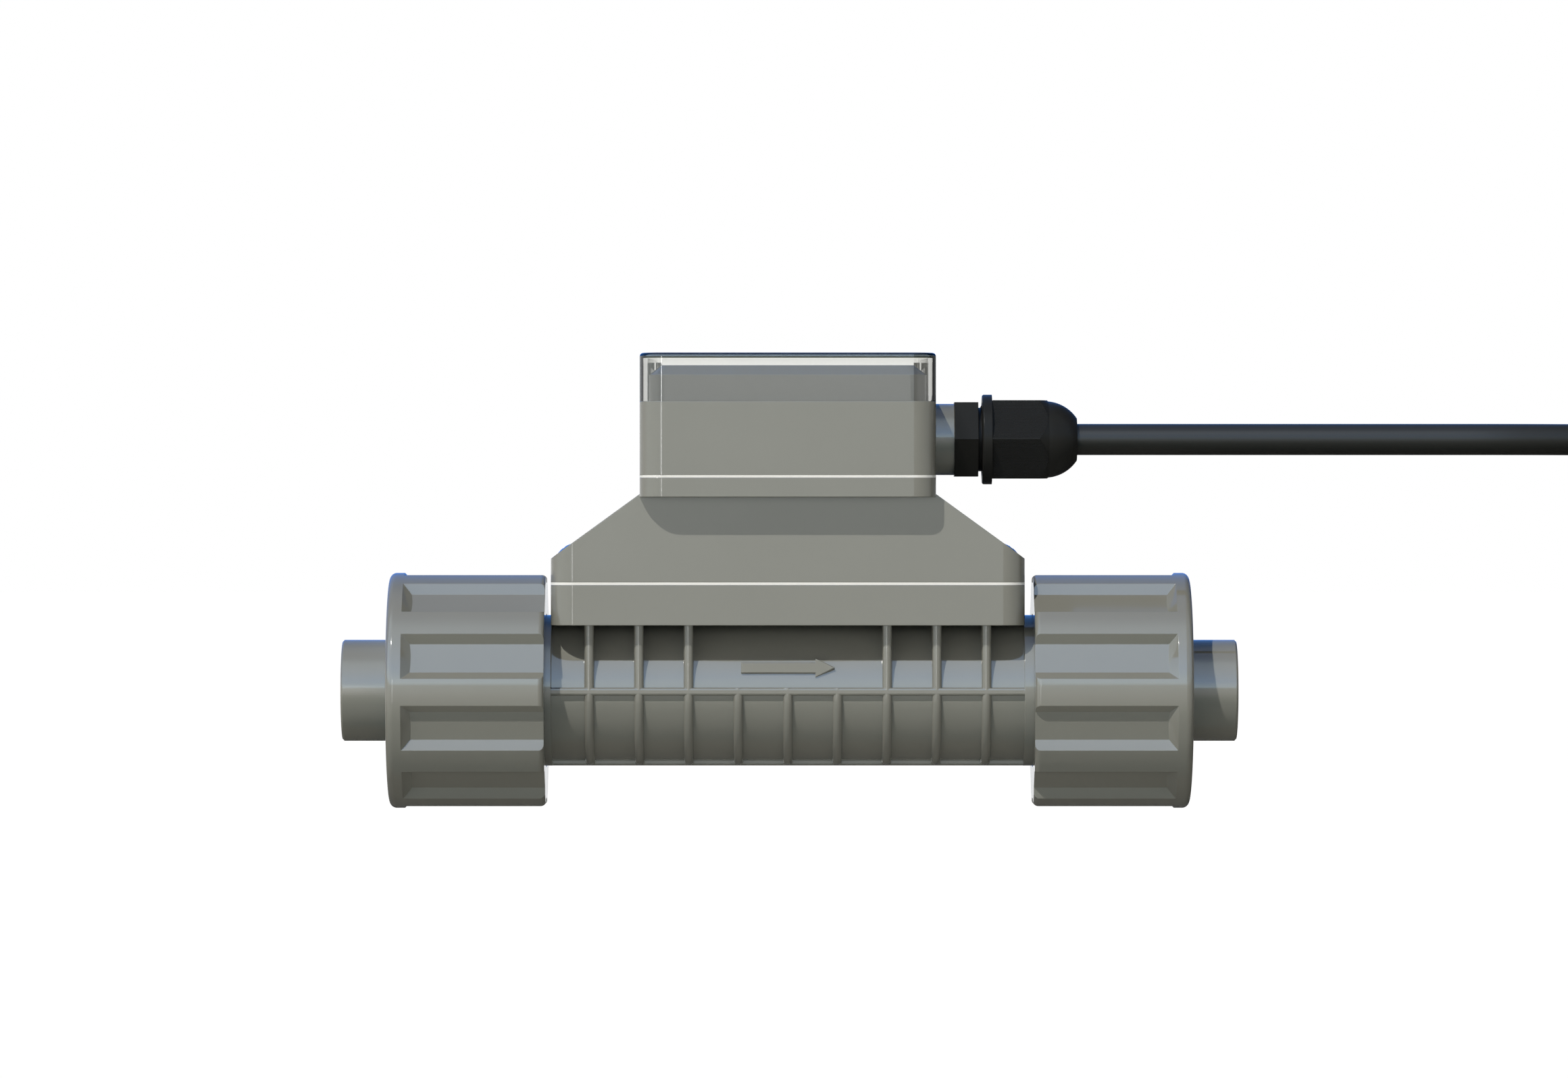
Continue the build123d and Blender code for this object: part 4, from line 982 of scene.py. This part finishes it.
    def add_lights(self, scene):
        """A key light from the upper left front, and a tall narrow one that draws lines on round corners."""
        key_direction = Vector((0.34, 0.60, -0.725))
        key_strength = 2.0
        key_softness = radians(1.2)
        warm_white = (1.0, 0.97, 0.9)
        strip_turn = radians(8)
        strip_distance = 3.2
        strip_height = 0.043
        strip_width = 0.22
        strip_length = 1.2
        strip_strength = 9.0
        data = bpy.data.lights.new("key_light", "SUN")
        data.energy = key_strength
        data.angle = key_softness
        data.color = warm_white
        key = bpy.data.objects.new("key_light", data)
        scene.collection.objects.link(key)
        key.rotation_euler = key_direction.to_track_quat("-Z", "Y").to_euler()
        facing = Vector((sin(strip_turn), cos(strip_turn), 0))
        data = bpy.data.lights.new("corner_light", "AREA")
        data.shape = "RECTANGLE"
        data.size = strip_width
        data.size_y = strip_length
        data.energy = strip_strength * pi * data.size * data.size_y
        strip = bpy.data.objects.new("corner_light", data)
        scene.collection.objects.link(strip)
        strip.location = Vector((body_centre, 0, strip_height)) - facing * strip_distance
        strip.rotation_euler = facing.to_track_quat("-Z", "Y").to_euler()
        strip.visible_camera = False
        strip.visible_diffuse = False
        strip.visible_transmission = False

    def add_camera(self, scene):
        """The photograph's view: square to the front, 2.4 m from the pipe axis."""
        distance = 2.4
        height = 42.7 * MM
        left_of_centre = 1.06 * MM
        data = bpy.data.cameras.new("front_camera")
        data.sensor_width = 36
        data.lens = 195.3
        data.clip_end = 100
        camera = bpy.data.objects.new("front_camera", data)
        scene.collection.objects.link(camera)
        camera.location = (body_centre - left_of_centre, -distance, height)
        camera.rotation_euler = (pi / 2, 0, 0)
        scene.camera = camera


OPERATORS = (
    FLOWMETER_OT_finishes,
    FLOWMETER_OT_union_threads,
    FLOWMETER_OT_gland_thread,
    FLOWMETER_OT_cap_nut_grip,
    FLOWMETER_OT_display_digits,
    FLOWMETER_OT_key_marks,
    FLOWMETER_OT_cable,
    FLOWMETER_OT_stage,
)


class FLOWMETER_PT_sidebar(bpy.types.Panel):
    """Lists the dressing steps, sizes and colours"""

    bl_idname = "FLOWMETER_PT_sidebar"
    bl_label = "Flow Meter"
    bl_space_type = "VIEW_3D"
    bl_region_type = "UI"
    bl_category = "Flow Meter"

    def draw(self, context):
        for operator in OPERATORS:
            self.layout.operator(operator.bl_idname)
        for group in (context.scene.meter_sizes, context.scene.meter_colours):
            for name in group.__annotations__:
                self.layout.prop(group, name)


CLASSES = (MeterSizes, MeterColours, *OPERATORS, FLOWMETER_PT_sidebar)


def register():
    for kind in CLASSES:
        bpy.utils.register_class(kind)
    bpy.types.Scene.meter_sizes = bpy.props.PointerProperty(type=MeterSizes)
    bpy.types.Scene.meter_colours = bpy.props.PointerProperty(type=MeterColours)


def unregister():
    del bpy.types.Scene.meter_colours
    del bpy.types.Scene.meter_sizes
    for kind in reversed(CLASSES):
        bpy.utils.unregister_class(kind)


def main():
    register()
    bpy.ops.flowmeter.finishes()
    bpy.ops.flowmeter.union_threads()
    bpy.ops.flowmeter.gland_thread()
    bpy.ops.flowmeter.cap_nut_grip()
    bpy.ops.flowmeter.display_digits()
    bpy.ops.flowmeter.key_marks()
    bpy.ops.flowmeter.cable()
    bpy.ops.flowmeter.stage()


if __name__ == "__main__":
    main()
